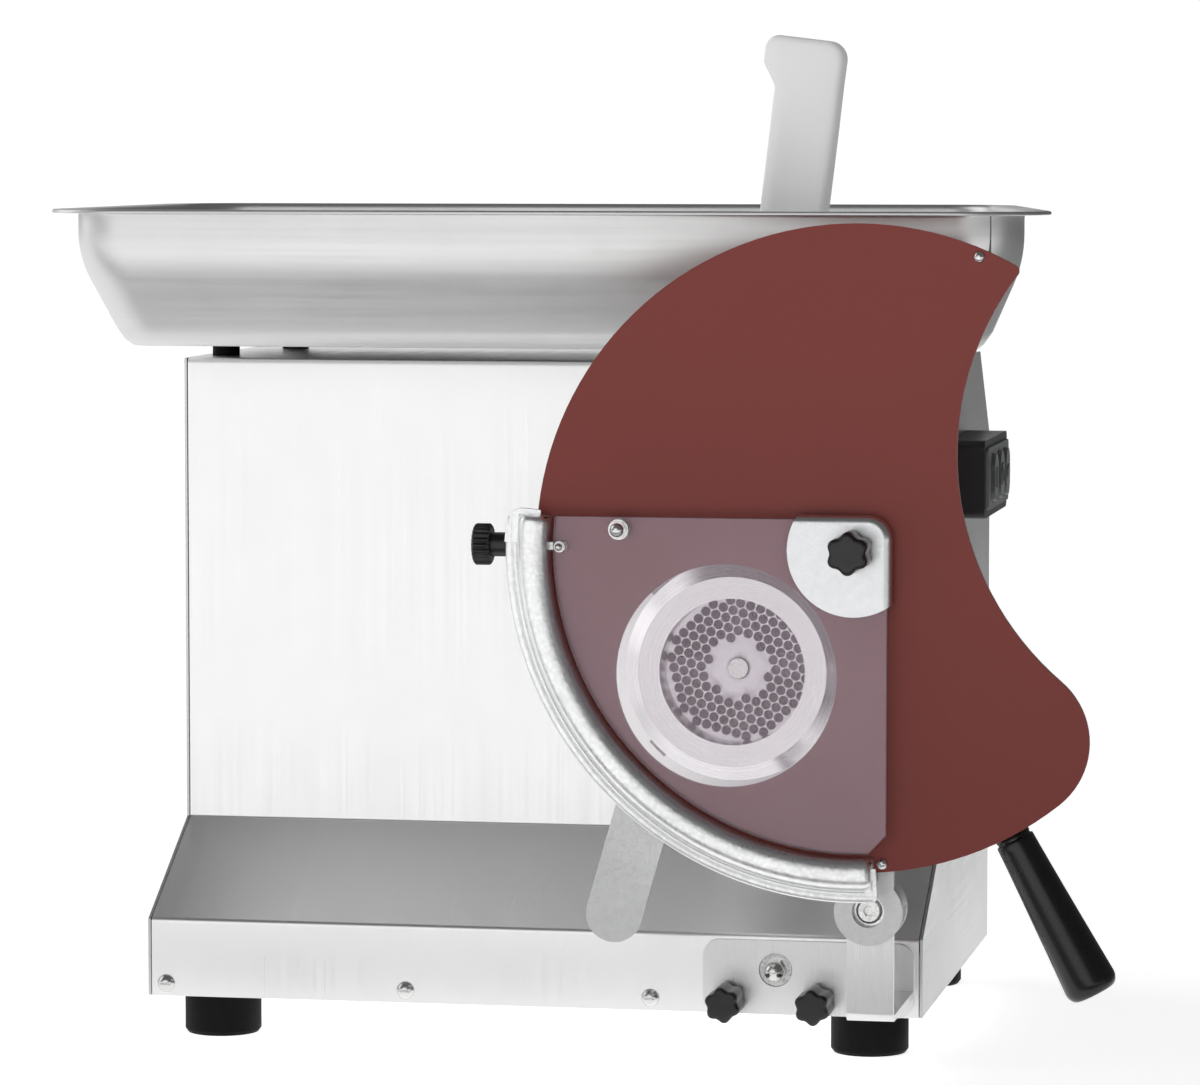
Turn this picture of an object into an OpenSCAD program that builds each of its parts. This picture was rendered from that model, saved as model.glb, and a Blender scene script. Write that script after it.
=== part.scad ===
// Counter-top electric meat grinder with feed tray, pusher, side switch box
// and a swing-away outlet guard that carries a turning portioning disc.
// Millimetres.  X right, Y back, Z up, floor at z = 0.

/* [Housing] */
// overall width over the side panels
body_w = 390; // [320:1:460]
// height of the housing top above the floor
body_h = 338.5; // [300:0.5:380]
// depth from the base front to the rear panel
body_d = 278; // [250:1:330]
// depth of the sloping apron (base front to housing front)
apron_d = 75.6; // [60:0.1:95]
// height of the top edge of the base front
base_h = 61.1; // [50:0.1:75]
// height of the top of the apron
apron_h = 103.2; // [90:0.1:115]
// length of the flat top, measured from the base front
top_d = 232; // [200:1:240]
// height where the slanted back edge ends
slant_h = 292; // [280:1:300]
// sheet thickness of the housing
sheet = 1.5; // [1:0.1:2]
// height of the rubber feet
foot_h = 22.3; // [15:0.1:30]
// diameter of the rubber feet
foot_d = 38.5; // [30:0.5:45]
// distance of the foot centres from the middle
foot_x = 164.8; // [120:0.2:170]

/* [Feed tray and pusher] */
// outer length of the tray rim (left to right)
tray_w = 500; // [440:1:520]
// outer depth of the tray rim
tray_d = 287; // [250:1:300]
// how far the tray centre sits right of the middle
tray_off = 3; // [0:0.5:20]
// height of the tray rim above the floor
tray_top = 415; // [400:1:430]
// depth of the tray from rim to floor
tray_deep = 67; // [60:1:70]
// width of the turned-out rim
tray_rim = 13; // [8:0.5:16]
// how much shorter the back of the tray is, taken off its right end
tray_slant = 38; // [0:1:45]
// radius of the tray corners
tray_r = 30; // [20:1:40]
// how much the sloping walls run in at the floor
tray_in = 20; // [14:1:26]
// sheet thickness of the tray
tray_t = 1.2; // [1:0.1:2]
// width of the pusher handle
push_w = 34; // [28:1:36]
// length of the pusher above its foot centre
push_l = 198; // [170:1:230]
// lean of the pusher in the neck, degrees
push_lean = 7; // [0:0.5:8]

/* [Grinder head] */
// sideways position of the outlet axis
out_x = 113; // [90:1:125]
// height of the outlet axis
out_z = 198; // [190:1:215]
// hole plate diameter
plate_d = 82; // [70:1:82]
// hole plate thickness
plate_t = 10; // [6:1:12]
// diameter of one hole
hole_d = 4.4; // [3:0.1:5]
// pitch of the holes
hole_p = 5; // [4.8:0.1:8]
// ring nut outer diameter
ring_d = 105; // [100:1:108]
// ring nut opening diameter
ring_open = 69.8; // [64:0.2:72]
// barrel bore diameter
bore_d = 76; // [66:1:76]
// barrel wall
barrel_wall = 7; // [5:0.5:7]
// centre of the feed neck, from the base front
neck_y = 40; // [34:1:44]
// feed neck bore diameter
neck_d = 55; // [50:1:56]

/* [Outlet guard] */
// pivot of the portioning disc, sideways
piv_x = 174.5; // [168:0.5:180]
// pivot of the portioning disc, height
piv_z = 258.5; // [250:0.5:262]
// radius of the portioning disc
disc_r = 152.2; // [140:0.2:153]
// thickness of the portioning disc
disc_t = 3; // [2:0.5:4]
// diameter of the disc opening at the outlet
disc_hole = 105.4; // [90:0.2:108]
// radius of the bite in the disc
bite_r = 138.15; // [120:0.05:150]
// bite centre right of the pivot
bite_x = 185.4; // [170:0.1:200]
// bite centre above the pivot
bite_z = 45.3; // [30:0.1:60]
// radius of the lobe next to the bite
lobe_r = 37.4; // [25:0.1:45]
// arc channel inner radius
arc_in = 145; // [140:0.5:146]
// arc channel outer radius
arc_out = 165.3; // [162:0.1:175]
// window thickness
win_t = 5; // [3:0.5:6]
// turning range of the disc, degrees
disc_turn = 105; // [60:1:105]
// hinge of the guard, sideways
hinge_x = 179.8; // [176:0.1:184]
// hinge of the guard, height
hinge_z = 86.7; // [84:0.1:92]
// length of the handle grip
grip_l = 86; // [70:1:95]

/* [Drive] */
// module of the motor stage
mod_a = 1.5; // [1.25:0.25:1.5]
// teeth of the motor pinion
teeth_a = 15; // [12:1:18]
// teeth of the first wheel
teeth_b = 60; // [45:1:60]
// module of the output stage
mod_b = 2.5; // [2:0.5:2.5]
// teeth of the second pinion
teeth_c = 18; // [14:1:18]
// teeth of the output wheel
teeth_d = 36; // [30:1:36]
// motor diameter
motor_d = 134; // [110:1:136]

/* [Fits] */
// radial clearance of a turning fit
run = 0.05; // [0.02:0.01:0.1]
// gap between faces that move past each other
gap = 0.4; // [0.3:0.05:1]

/* [Hidden] */
$fn = 64;
tiny = 0.01;
half = body_w / 2;
inner = half - sheet;
steel = [0.80, 0.81, 0.82];
dark = [0.09, 0.09, 0.10];
red = [0.48, 0.20, 0.18];

// tray
tray_x0 = tray_off - tray_w / 2 + tray_rim;
tray_x1 = tray_off + tray_w / 2 - tray_rim;
tray_y0 = -20 + tray_rim;
tray_y1 = -20 + tray_d - tray_rim;
tray_z = tray_top - tray_deep;
tray_mid = tray_top - 24;
spout_r = neck_d / 2 - gap - 0.2;
spout_in = spout_r - tray_t;
spout_z = tray_z - 23;
neck_top = tray_z - tray_t - 2;
bump_z = tray_z - tray_t;

// head, all along Y
face_y = -76;
plate_y0 = face_y + 19.5;
plate_y1 = plate_y0 + plate_t;
head_y0 = plate_y1 - 4;
knife_y0 = plate_y1 + gap;
knife_y1 = knife_y0 + 9;
screw_y0 = knife_y1;
screw_y1 = 70;
barrel_r = bore_d / 2 + barrel_wall;
head_y1 = apron_d;
gear_y0 = apron_d + sheet;
case_t = 6;
case_y1 = gear_y0 + 52;
pusher_x = out_x - 2;
pusher_z = 302;

cover_xs = [9.3 - half, -63.1, 60.3];
cover_z = foot_h + 6.2;
claw_x = out_x + 62;

// gear train
dist_a = mod_a * (teeth_a + teeth_b) / 2;
dist_b = mod_b * (teeth_c + teeth_d) / 2;
train = 207;
lay_x = out_x + dist_b * cos(train);
lay_z = out_z + dist_b * sin(train);
mot_x = lay_x + dist_a * cos(train);
mot_z = lay_z + dist_a * sin(train);
// tooth phase that puts a tooth in the mate's gap, along direction dir
function mesh(ph, za, zb, dir) = dir + 180 + ((dir - ph) * za / 360 - 0.5) * 360 / zb;
lay_phase = 0;
lay_out_ph = mesh(0, teeth_d, teeth_c, train);
mot_phase = mesh(lay_phase, teeth_b, teeth_a, train);

// guard stack along Y, front is negative
win_y0 = -103;
win_y1 = win_y0 + win_t;
disc_y0 = win_y1 + 3.5;
disc_y1 = disc_y0 + disc_t;
back_y0 = disc_y1 + 5.5;
back_y1 = back_y0 + 3;
crown_y = -112;
wall_r = arc_in + 13;
arc_x = 9.6;
arc_z = 15;
win_x = 16;
win_z = 14.6;
post_r = 6;
stud_r = 4;
cap_t = 2;
knob_h = 20;
rivet_r = 2.9;
rivet_a = 148.2;
rivet_as = [-90 + asin((arc_x + 0.5 + rivet_r) / rivet_a), 67.3];
flange_y0 = -79;
flange_t = 3;
ear_r = 16.3;
ear_hole = 7.6;
arm_z = 33;
rear_ear_y = flange_y0 + flange_t + 6;
handle_a = -61.8;
handle_y = disc_y1 + 14;
grip_r0 = disc_r - 1.5;
knob_xs = [100.2, 144.2];
knob_z = 30;
stud_x = 123;
stud_z = 44.5;
brk_y = -3;

// switch box
box_y0 = 79;
box_y1 = 179;
box_z0 = 261;
box_z1 = 300;
box_x = half + 20;
btn_ys = [103, 129, 155];
btn_z = (box_z0 + box_z1) / 2;

// centre of a circle of radius r that touches the disc rim from inside
// and the bite from outside; side picks the upper (1) or lower (-1) corner
function corner(r, side) =
    let(a = disc_r - r, b = bite_r + r, d = norm([bite_x, bite_z]),
        x = (a * a - b * b + d * d) / (2 * d), h = sqrt(a * a - x * x),
        u = [bite_x, bite_z] / d)
    [u[0] * x - side * u[1] * h, u[1] * x + side * u[0] * h];
lobe_c = corner(lobe_r, -1);
tip_r = 3;
tip_c = corner(tip_r, 1);

// inner point of a bent sheet: p moved by t along both inward normals
function mitre(p, n1, n2, t) = p + t * (n1 + n2) / (1 + n1 * n2);
function inward(a, b) = let(d = (b - a) / norm(b - a)) [d[1], -d[0]];
prof = [[0, foot_h], [0, base_h], [apron_d, apron_h], [apron_d, body_h],
        [top_d, body_h], [body_d, slant_h], [body_d, foot_h]];

// the row's origin: middle of the bounding box, on the floor
gland_l = 15;
grip_reach = (grip_r0 + grip_l - 4) * cos(handle_a) - 12.9 * sin(handle_a);
mid_x = (tray_off - tray_w / 2 + piv_x + grip_reach) / 2;
mid_y = (win_y0 - cap_t - gap - knob_h + body_d + gland_l) / 2;

// which node to draw

// ---------- helpers ----------
module placed() translate([-mid_x, -mid_y, 0]) children();

module ycyl(y0, y1, r, r2 = -1)
    translate([0, y1, 0]) rotate([90, 0, 0])
        cylinder(h = y1 - y0, r1 = r2 < 0 ? r : r2, r2 = r);

module xcyl(x0, x1, r, r2 = -1)
    translate([x0, 0, 0]) rotate([0, 90, 0])
        cylinder(h = x1 - x0, r1 = r, r2 = r2 < 0 ? r : r2);

// 2D shape in X-Z, from y0 to y1
module slab(y0, y1)
    translate([0, y1, 0]) rotate([90, 0, 0]) linear_extrude(y1 - y0) children();

// 2D shape in Y-Z, from x0 to x1
module side(x0, x1)
    translate([x0, 0, 0]) rotate([90, 0, 90]) linear_extrude(x1 - x0) children();

module at(x, z) translate([x, 0, z]) children();

module rrect(x0, y0, x1, y1, r) {
    translate([x0 + r, y0]) square([x1 - x0 - 2 * r, y1 - y0]);
    translate([x0, y0 + r]) square([x1 - x0, y1 - y0 - 2 * r]);
    for (x = [x0 + r, x1 - r], y = [y0 + r, y1 - r])
        translate([x, y]) circle(r);
}

module ring2(r1, r0) difference() { circle(r1); circle(r0); }

// star-shaped knob along -Y, back face at y1, stud hole bore deep
module star_knob(y1, h, r, bore, deep) {
    difference() {
        union() {
            slab(y1 - h + 1.2, y1 - 3) star2(r);
            slab(y1 - h, y1 - h + 1.2) star2(r - 1);
            ycyl(y1 - 3, y1, r * 0.62);
        }
        ycyl(y1 - deep, y1 + 1, bore);
    }
}
module star2(r) {
    difference() {
        circle(r - 0.5);
        for (a = [0:60:300]) rotate(a) translate([r + 3.6, 0]) circle(5.2);
    }
    for (a = [30:60:330]) rotate(a) translate([r - 3.1, 0]) circle(3.1);
}

module gear2(m, z, ph = 0) {
    r = m * z / 2;
    p = 360 / z;
    rotate(ph) polygon([for (i = [0:z - 1], k = [0:3])
        let(a = (i + [-0.25, -0.10, 0.10, 0.25][k]) * p,
            q = [r - 1.15 * m, r + 0.8 * m, r + 0.8 * m, r - 1.15 * m][k])
        [q * cos(a), q * sin(a)]]);
}

// ---------- housing ----------
module front_cover() placed() color(steel) {
    n = [for (i = [0:4]) inward(prof[i], prof[i + 1])];
    in = [for (i = [1:4]) mitre(prof[i], n[i - 1], n[i], sheet)];
    difference() {
        side(-inner, inner) polygon(concat(
            [[0, foot_h]], [for (i = [1:4]) prof[i]], [prof[5]],
            [prof[5] + sheet * n[4]],
            [for (i = [3:-1:0]) in[i]], [[sheet, foot_h]]));
        at(out_x, out_z) ycyl(apron_d - 5, apron_d + 5, 34);
        at(claw_x, out_z) ycyl(apron_d - 5, apron_d + 5, 4.3);
        for (x = cover_xs) at(x, cover_z) ycyl(-1, 5, 2.1);
        for (x = knob_xs) at(x, knob_z) ycyl(-1, 5, 3.1);
        at(stud_x, stud_z) ycyl(-1, 5, 3.1);
    }
}

module side_shape() polygon(prof);

module side_panel_left() placed() color(steel)
    side(-half, -inner) side_shape();

module side_panel_right() placed() color(steel) difference() {
    side(inner, half) side_shape();
    for (y = [box_y0 + 25, box_y1 - 25])
        translate([0, y, btn_z]) xcyl(inner - 1, half + 1, 8);
    for (z = [110:16:190])
        side(inner - 1, half + 1) translate([150, z]) square([70, 5]);
}

module rear_panel() placed() color(steel) difference() {
    translate([-inner, body_d - sheet, foot_h])
        cube([2 * inner, sheet, slant_h - foot_h - sheet]);
    for (z = [100:14:240], x = [-120, -40, 40])
        translate([x, body_d - sheet - 1, z]) cube([60, sheet + 2, 5]);
    translate([inner - 45, 0, foot_h + 40]) ycyl(body_d - 5, body_d + 1, 8);
}

module base_plate() placed() color(steel) difference() {
    union() {
        translate([-inner, sheet, foot_h])
            cube([2 * inner, body_d - 2 * sheet, 2]);
        translate([-inner, sheet, foot_h]) cube([2 * inner, 2, 32]);
    }
    for (x = [-foot_x, foot_x], y = foot_ys)
        translate([x, y, foot_h - 1]) cylinder(h = 5, r = 4.05);
    for (x = cover_xs) at(x, cover_z) ycyl(0, 5, 2.1);
    for (x = knob_xs) at(x, knob_z) ycyl(0, 5, 3.1);
    at(stud_x, stud_z) ycyl(0, 5, 3.1);
}
foot_ys = [32.5, body_d - 27];

module rubber_feet() placed() color(dark)
    for (x = [-foot_x, foot_x], y = foot_ys)
        translate([x, y, 0]) {
            difference() {
                union() {
                    cylinder(h = 2, r1 = foot_d / 2 - 1.5, r2 = foot_d / 2);
                    translate([0, 0, 2]) cylinder(h = foot_h - 2, d = foot_d);
                }
                translate([0, 0, -1]) cylinder(h = 9, r = 8);
            }
            translate([0, 0, foot_h - 1]) cylinder(h = 6, r = 4);
        }

module cover_screws() placed() color(steel)
    for (x = cover_xs) at(x, cover_z) {
        difference() {
            intersection() {
                translate([0, 2.6, 0]) sphere(5.2);
                ycyl(-2.6, 0, 4.5);
            }
            translate([-6, -3, -0.5]) cube([12, 1.4, 1]);
        }
        ycyl(-0.01, 6, 2);
    }

module tray_bumpers() placed() color(dark)
    for (p = bump_at) translate([p[0], p[1], body_h])
        cylinder(h = bump_z - body_h, r = 7);
bump_at = [[-half + 13, apron_d + 35], [-half + 26, top_d - 25],
           [half - 26, apron_d + 35], [half - 26, top_d - 25]];

// ---------- tray and pusher ----------
module tray_plan(d, r) hull() {
    x0 = tray_x0 + d + r;
    x1 = tray_x1 - d - r;
    y0 = tray_y0 + d + r;
    y1 = tray_y1 - d - r;
    for (p = [[x0, y0], [x1, y0], [x1 - tray_slant, y1], [x0, y1]])
        translate(p) circle(r, $fn = 32);
}
module tray_slice(z, h, d) translate([0, 0, z]) linear_extrude(h)
    tray_plan(d, tray_r - d * 0.5);

module feed_tray() placed() color(steel) difference() {
    union() {
        tray_slice(tray_mid, tray_top - tray_mid, 0);
        hull() {
            tray_slice(tray_mid, tiny, 0);
            tray_slice(tray_z - tray_t, tiny, tray_in);
        }
        translate([0, 0, tray_top - tray_t]) linear_extrude(tray_t)
            tray_plan(-tray_rim, tray_r + tray_rim);
        translate([out_x, neck_y, spout_z])
            cylinder(h = tray_z - spout_z - 0.5, r = spout_r);
    }
    tray_slice(tray_mid - tiny, tray_top, tray_t);
    hull() {
        tray_slice(tray_mid, tiny, tray_t);
        tray_slice(tray_z, tiny, tray_in + tray_t);
    }
    translate([out_x, neck_y, spout_z - 1])
        cylinder(h = 40, r = spout_in);
}

module pusher() placed() color([0.93, 0.94, 0.95])
    translate([pusher_x, neck_y, pusher_z]) rotate([0, push_lean, 0]) {
        difference() {
            union() {
                translate([0, 0, -12]) cylinder(h = 24, r = 21);
                slab(-11, 11) push_shape();
            }
            for (s = [-1, 1]) slab(s * 10 - 2.5, s * 10 + 2.5)
                rrect(-push_w / 2 + 9, 40, push_w / 2 - 9, push_l - 38, 4);
        }
    }
module push_shape() {
    w = push_w / 2;
    rrect(-w, 0, w, push_l, 7);
    rrect(-w - 6, push_l - 27, w + 1, push_l, 8);
    rrect(-w, push_l - 60, w + 1, push_l - 4, 3);
}

// ---------- grinder head ----------
module grinder_barrel() placed() color([0.74, 0.75, 0.76]) difference() {
    union() {
        at(out_x, out_z) {
            ycyl(head_y0, head_y1 - 12, barrel_r);
            ycyl(head_y1 - 12, head_y1, barrel_r + 7);
            ycyl(head_y1, gear_y0 + case_t - 1, 33.9);
        }
        translate([out_x, neck_y, out_z])
            cylinder(h = neck_top - out_z, r = neck_d / 2 + 3.5);
    }
    at(out_x, out_z) {
        ycyl(head_y0 - 1, screw_y1 - 2, bore_d / 2);
        ycyl(head_y0 - 1, plate_y1, plate_d / 2 + 0.1);
        ycyl(screw_y1 - 3, gear_y0 + 20, 16 + run);
    }
    translate([out_x, neck_y, out_z])
        cylinder(h = neck_top, r = neck_d / 2);
}

module feed_screw() placed() color([0.74, 0.75, 0.76]) at(out_x, out_z) {
    ycyl(screw_y0, screw_y1 - 2.5, 13);
    ycyl(screw_y1 - 2.5, gear_y0 + case_t - 1.6, 16);
    ycyl(gear_y0 + case_t - 1.7, gear_y0 + 9, 9.9);
    translate([-6, knife_y0, -6]) cube([12, 9, 12]);
    ycyl(plate_y0 - 1.5, knife_y0, 4.8);
    translate([0, screw_y1 - 4, 0]) rotate([90, 0, 0])
        linear_extrude(height = screw_y1 - 4 - screw_y0, twist = 900, slices = 50)
            flight2();
}
module flight2() {
    pts = 6;
    polygon(concat(
        [for (i = [0:pts]) let(a = i * 9) [36.8 * cos(a), 36.8 * sin(a)]],
        [for (i = [pts:-1:0]) let(a = i * 16 - 18) [11 * cos(a), 11 * sin(a)]]));
}

module cutting_knife() placed() color([0.70, 0.71, 0.72]) at(out_x, out_z) difference() {
    slab(knife_y0, knife_y1) {
        circle(13);
        for (a = [0:90:270]) rotate(a)
            polygon([[0, -8], [34.5, -3], [34.5, 6], [0, 8]]);
    }
    translate([-6, knife_y0 - 1, -6]) cube([12, 11, 12]);
}

hex_n = 8;
module hole_plate() placed() color([0.78, 0.79, 0.80]) at(out_x, out_z) difference() {
    ycyl(plate_y0, plate_y1, plate_d / 2);
    ycyl(plate_y0 - 1, plate_y1 + 1, 4.8 + run);
    rotate([0, 15.7, 0])
        for (i = [-hex_n:hex_n], j = [-hex_n:hex_n])
            let(x = (i + j / 2) * hole_p, z = j * hole_p * sqrt(3) / 2,
                d = norm([x, z]))
            if (d > 14.2 && d < plate_d / 2 - 7.5)
                at(x, z) ycyl(plate_y0 - 1, plate_y1 + 1, hole_d / 2, $fn = 24);
}

module ring_nut() placed() color([0.76, 0.77, 0.78]) at(out_x, out_z) difference() {
    union() {
        ycyl(face_y, face_y + 8, ring_d / 2 - 7.3, ring_d / 2);
        ycyl(face_y + 8, face_y + 41, ring_d / 2);
        for (a = [45:90:315]) rotate([0, a, 0])
            translate([ring_d / 2 - 4, face_y + 21, -5]) cube([8, 20, 10]);
    }
    ycyl(face_y - 1, plate_y0 + 1, ring_open / 2);
    ycyl(plate_y0, head_y0 - gap, plate_d / 2 + gap);
    ycyl(head_y0 - gap, face_y + 42, barrel_r + gap);
}

module clamp_claw() placed() color(steel) difference() {
    slab(head_y1 - 17, head_y1 - 12)
        rrect(out_x + barrel_r + 2, out_z - 11, claw_x + 12, out_z + 11, 3);
    at(claw_x, out_z) ycyl(head_y1 - 19, head_y1 - 11, 4 + run);
}

module clamp_knob() placed() color(dark) at(claw_x, out_z) {
    star_knob(head_y1 - 17 - gap, 18, 15, 1, 1);
    color(steel) ycyl(head_y1 - 18, gear_y0 + 7, 4);
}

// ---------- drive ----------
module case_shape(g) {
    hull() {
        translate([out_x, out_z]) circle(50 + g);
        translate([mot_x, mot_z]) circle(34 + g);
        translate([lay_x, lay_z]) circle(50 + g);
    }
}
module gearbox_case() placed() color([0.55, 0.56, 0.57]) difference() {
    union() {
        difference() {
            slab(gear_y0, case_y1) case_shape(case_t);
            slab(gear_y0 + case_t, case_y1 - case_t) case_shape(0);
        }
        difference() {
            at(claw_x, out_z) ycyl(gear_y0, gear_y0 + 12, 10);
            at(out_x, out_z) ycyl(gear_y0 - 1, gear_y0 + 13, 51);
        }
    }
    at(out_x, out_z) ycyl(gear_y0 - 1, gear_y0 + case_t + 1, 34);
    at(out_x, out_z) ycyl(case_y1 - case_t - 1, case_y1 + 1, 14);
    at(lay_x, lay_z) ycyl(gear_y0 + 2, case_y1 - 2, 12);
    at(mot_x, mot_z) ycyl(gear_y0 + 2, case_y1 + 1, 12);
    at(claw_x, out_z) ycyl(gear_y0 - 1, gear_y0 + 8, 4 + run);
}

module ycyl2(y0, y1, r1, r0) difference() {
    ycyl(y0, y1, r1);
    ycyl(y0 - 1, y1 + 1, r0);
}
module shaft_bearings() placed() color([0.65, 0.66, 0.68]) {
    at(out_x, out_z) {
        ycyl2(gear_y0 + case_t - 1, gear_y0 + case_t + 5, 34, 14 + run);
        ycyl2(case_y1 - case_t, case_y1, 14, 8 + run);
    }
    for (y = [gear_y0 + 2, case_y1 - case_t]) {
        at(lay_x, lay_z) ycyl2(y, y + 4, 12, 7 + run);
        at(mot_x, mot_z) ycyl2(y, y + 4, 12, 6 + run);
    }
}

wheel_b_y = gear_y0 + 32;
wheel_d_y = gear_y0 + 13;
module output_shaft() placed() color([0.62, 0.63, 0.65]) at(out_x, out_z) {
    slab(wheel_d_y, wheel_d_y + 16) difference() {
        gear2(mod_b, teeth_d);
        circle(14);
    }
    difference() {
        union() {
            ycyl(gear_y0 + case_t - 1.5, wheel_d_y + 17, 14);
            ycyl(wheel_d_y + 17, case_y1 + 2, 8);
        }
        ycyl(gear_y0, gear_y0 + 9, 10);
    }
    ycyl(gear_y0 + 9, gear_y0 + 12, 10);
}

module layshaft() placed() color([0.62, 0.63, 0.65]) at(lay_x, lay_z) {
    slab(wheel_b_y, wheel_b_y + 10) gear2(mod_a, teeth_b, lay_phase);
    slab(wheel_d_y - 1, wheel_d_y + 18) gear2(mod_b, teeth_c, lay_out_ph);
    ycyl(gear_y0 + 2.5, case_y1 - 2.5, 7);
}

module motor_rotor() placed() color([0.60, 0.58, 0.55]) at(mot_x, mot_z) {
    slab(wheel_b_y - 1, wheel_b_y + 11) gear2(mod_a, teeth_a, mot_phase);
    ycyl(gear_y0 + 2.5, motor_y1 - 4, 6);
    ycyl(motor_y0 + 12, motor_y1 - 26, 33);
    difference() {
        ycyl(motor_y1 - 20, motor_y1 - 17, 56);
        for (a = [0:45:315]) rotate([0, a, 0])
            at(38, 0) ycyl(motor_y1 - 21, motor_y1 - 16, 9);
    }
    for (a = [22.5:45:360]) rotate([0, a, 0])
        translate([20, motor_y1 - 18, -1]) cube([35, 11, 2]);
}
motor_y0 = case_y1;
motor_y1 = body_d - sheet - 10;

module motor_frame() placed() color([0.30, 0.33, 0.36]) at(mot_x, mot_z) {
    difference() {
        union() {
            ycyl(motor_y0, motor_y1, motor_d / 2);
            for (a = [15:30:345]) rotate([0, a, 0])
                translate([motor_d / 2 - 1, motor_y0 + 14, -1.5])
                    cube([5, motor_y1 - motor_y0 - 50, 3]);
        }
        ycyl(motor_y0 + 6, motor_y1 - 3, motor_d / 2 - 5);
        ycyl(motor_y0 - 1, motor_y0 + 7, 6 + 4);
        for (a = [0:30:330]) rotate([0, a, 0])
            at(44, 0) ycyl(motor_y1 - 5, motor_y1 + 1, 8);
    }
    ycyl2(motor_y0 + 12, motor_y1 - 26, motor_d / 2 - 4.9, 34);
}

module motor_cradle() placed() color(steel) difference() {
    for (y = [motor_y0 + 20, motor_y1 - 40])
        translate([mot_x - 55, y, foot_h + 2])
            cube([110, 6, mot_z - foot_h - 20]);
    at(mot_x, mot_z) ycyl(motor_y0, motor_y1, motor_d / 2);
    for (a = [15:30:345]) at(mot_x, mot_z) rotate([0, a, 0])
        translate([motor_d / 2 - 2, motor_y0 + 13, -1.5 - tiny])
            cube([6.1, motor_y1 - motor_y0 - 40, 3 + 2 * tiny]);
}

module run_capacitor() placed() color([0.85, 0.85, 0.83])
    translate([-130, motor_y0 + 20, foot_h + 2]) {
        cylinder(h = 80, r = 22.5);
        for (x = [-8, 8]) translate([x, 0, 79]) cylinder(h = 9, r = 3);
    }

module terminal_block() placed() color([0.15, 0.25, 0.5]) difference() {
    translate([100, body_d - 60, foot_h + 2]) cube([60, 24, 20]);
    for (x = [108:11:155]) translate([x, body_d - 48, foot_h + 14])
        cylinder(h = 12, r = 3);
}

module cable_gland() placed() color(dark) at(inner - 45, foot_h + 40) {
    difference() {
        union() {
            ycyl(body_d, body_d + 6, 11, $fn = 6);
            ycyl(body_d + 6, body_d + gland_l, 9);
            ycyl(body_d - 8, body_d + 1, 7.9);
        }
        ycyl(body_d - 9, body_d + gland_l + 1, 4);
    }
    ycyl2(body_d - 8, body_d - sheet, 11, 7.9);
}

// ---------- switch ----------
module switch_box() placed() color(dark) difference() {
    side(half, box_x) rrect(box_y0, box_z0, box_y1, box_z1, 4);
    side(half - 1, box_x - 3) rrect(box_y0 + 3, box_z0 + 3, box_y1 - 3, box_z1 - 3, 2);
    for (y = btn_ys) side(box_x - 4, box_x + 1) btn_shape(y, gap + 0.2);
}
module btn_shape(y, g) rrect(y - 8 - g, btn_z - 12 - g, y + 8 + g, btn_z + 12 + g, 7.9 + g);

module switch_plate() placed() color([0.45, 0.46, 0.47]) difference() {
    side(box_x, box_x + 1.5) rrect(box_y0 + 5, box_z0 + 4, box_y1 - 5, box_z1 - 4, 3);
    for (y = btn_ys) side(box_x - 1, box_x + 3) btn_shape(y, gap);
}

module button(y, c, s) color(c) {
    side(box_x - 1.5, box_x + 3.5) btn_shape(y, 0);
    side(box_x - 6, box_x - 3.2) rrect(y - 9, btn_z - 13, y + 9, btn_z + 13, 3);
    translate([0, y, btn_z]) xcyl(box_x - 6, box_x, 5);
    if (s == 1) translate([0, y, btn_z]) xcyl(box_x + 3, box_x + 4, 4);
    if (s == 0) translate([0, y, btn_z]) side(box_x + 3, box_x + 4.2) ring2(6, 4.2);
    if (s == 2) translate([box_x + 3, y - 1, btn_z - 5]) cube([1, 2, 10]);
}
module button_start() placed() button(btn_ys[0], [0.1, 0.35, 0.15], 2);
module button_stop() placed() button(btn_ys[1], [0.4, 0.1, 0.1], 0);
module button_reverse() placed() button(btn_ys[2], [0.2, 0.2, 0.22], 1);

// ---------- guard bracket ----------
module guard_bracket() placed() color(steel) difference() {
    union() {
        slab(brk_y, 0) rrect(87, foot_h + 0.3, 191, 59, 8);
        side(hinge_x - 11.2, hinge_x + 11.2) intersection() {
            difference() {
                rrect(flange_y0, arm_z, 60, hinge_z + 60, 4.5);
                rrect(flange_y0 + flange_t, arm_z + flange_t, 70, hinge_z + 70, 1.5);
            }
            translate([flange_y0, arm_z]) square([-flange_y0, hinge_z - arm_z]);
        }
        slab(flange_y0, flange_y0 + flange_t) translate([hinge_x, hinge_z]) circle(11.2);
    }
    at(stud_x, stud_z) ycyl(-5, 1, 8.2);
    for (x = knob_xs) at(x, knob_z) ycyl(-5, 1, 3.1);
    at(hinge_x, hinge_z) ycyl(flange_y0 - 1, flange_y0 + 4, 4.05);
}

module bracket_stud() placed() color(steel) at(stud_x, stud_z) {
    ycyl(-2, 0, 7.9);
    ycyl(-0.01, 8, 3);
    ycyl(-8, -2, 5.8, $fn = 6);
    intersection() {
        translate([0, -7.5, 0]) sphere(4.8);
        ycyl(-13, -8, 5);
    }
}

module bracket_knob_left() placed() at(knob_xs[0], knob_z) bracket_knob();
module bracket_knob_right() placed() at(knob_xs[1], knob_z) bracket_knob();
module bracket_knob() {
    color(dark) star_knob(brk_y - gap, 24, 8.9, 2.9, 12);
    color(steel) ycyl(brk_y - gap - 12, 9, 3);
}

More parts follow.
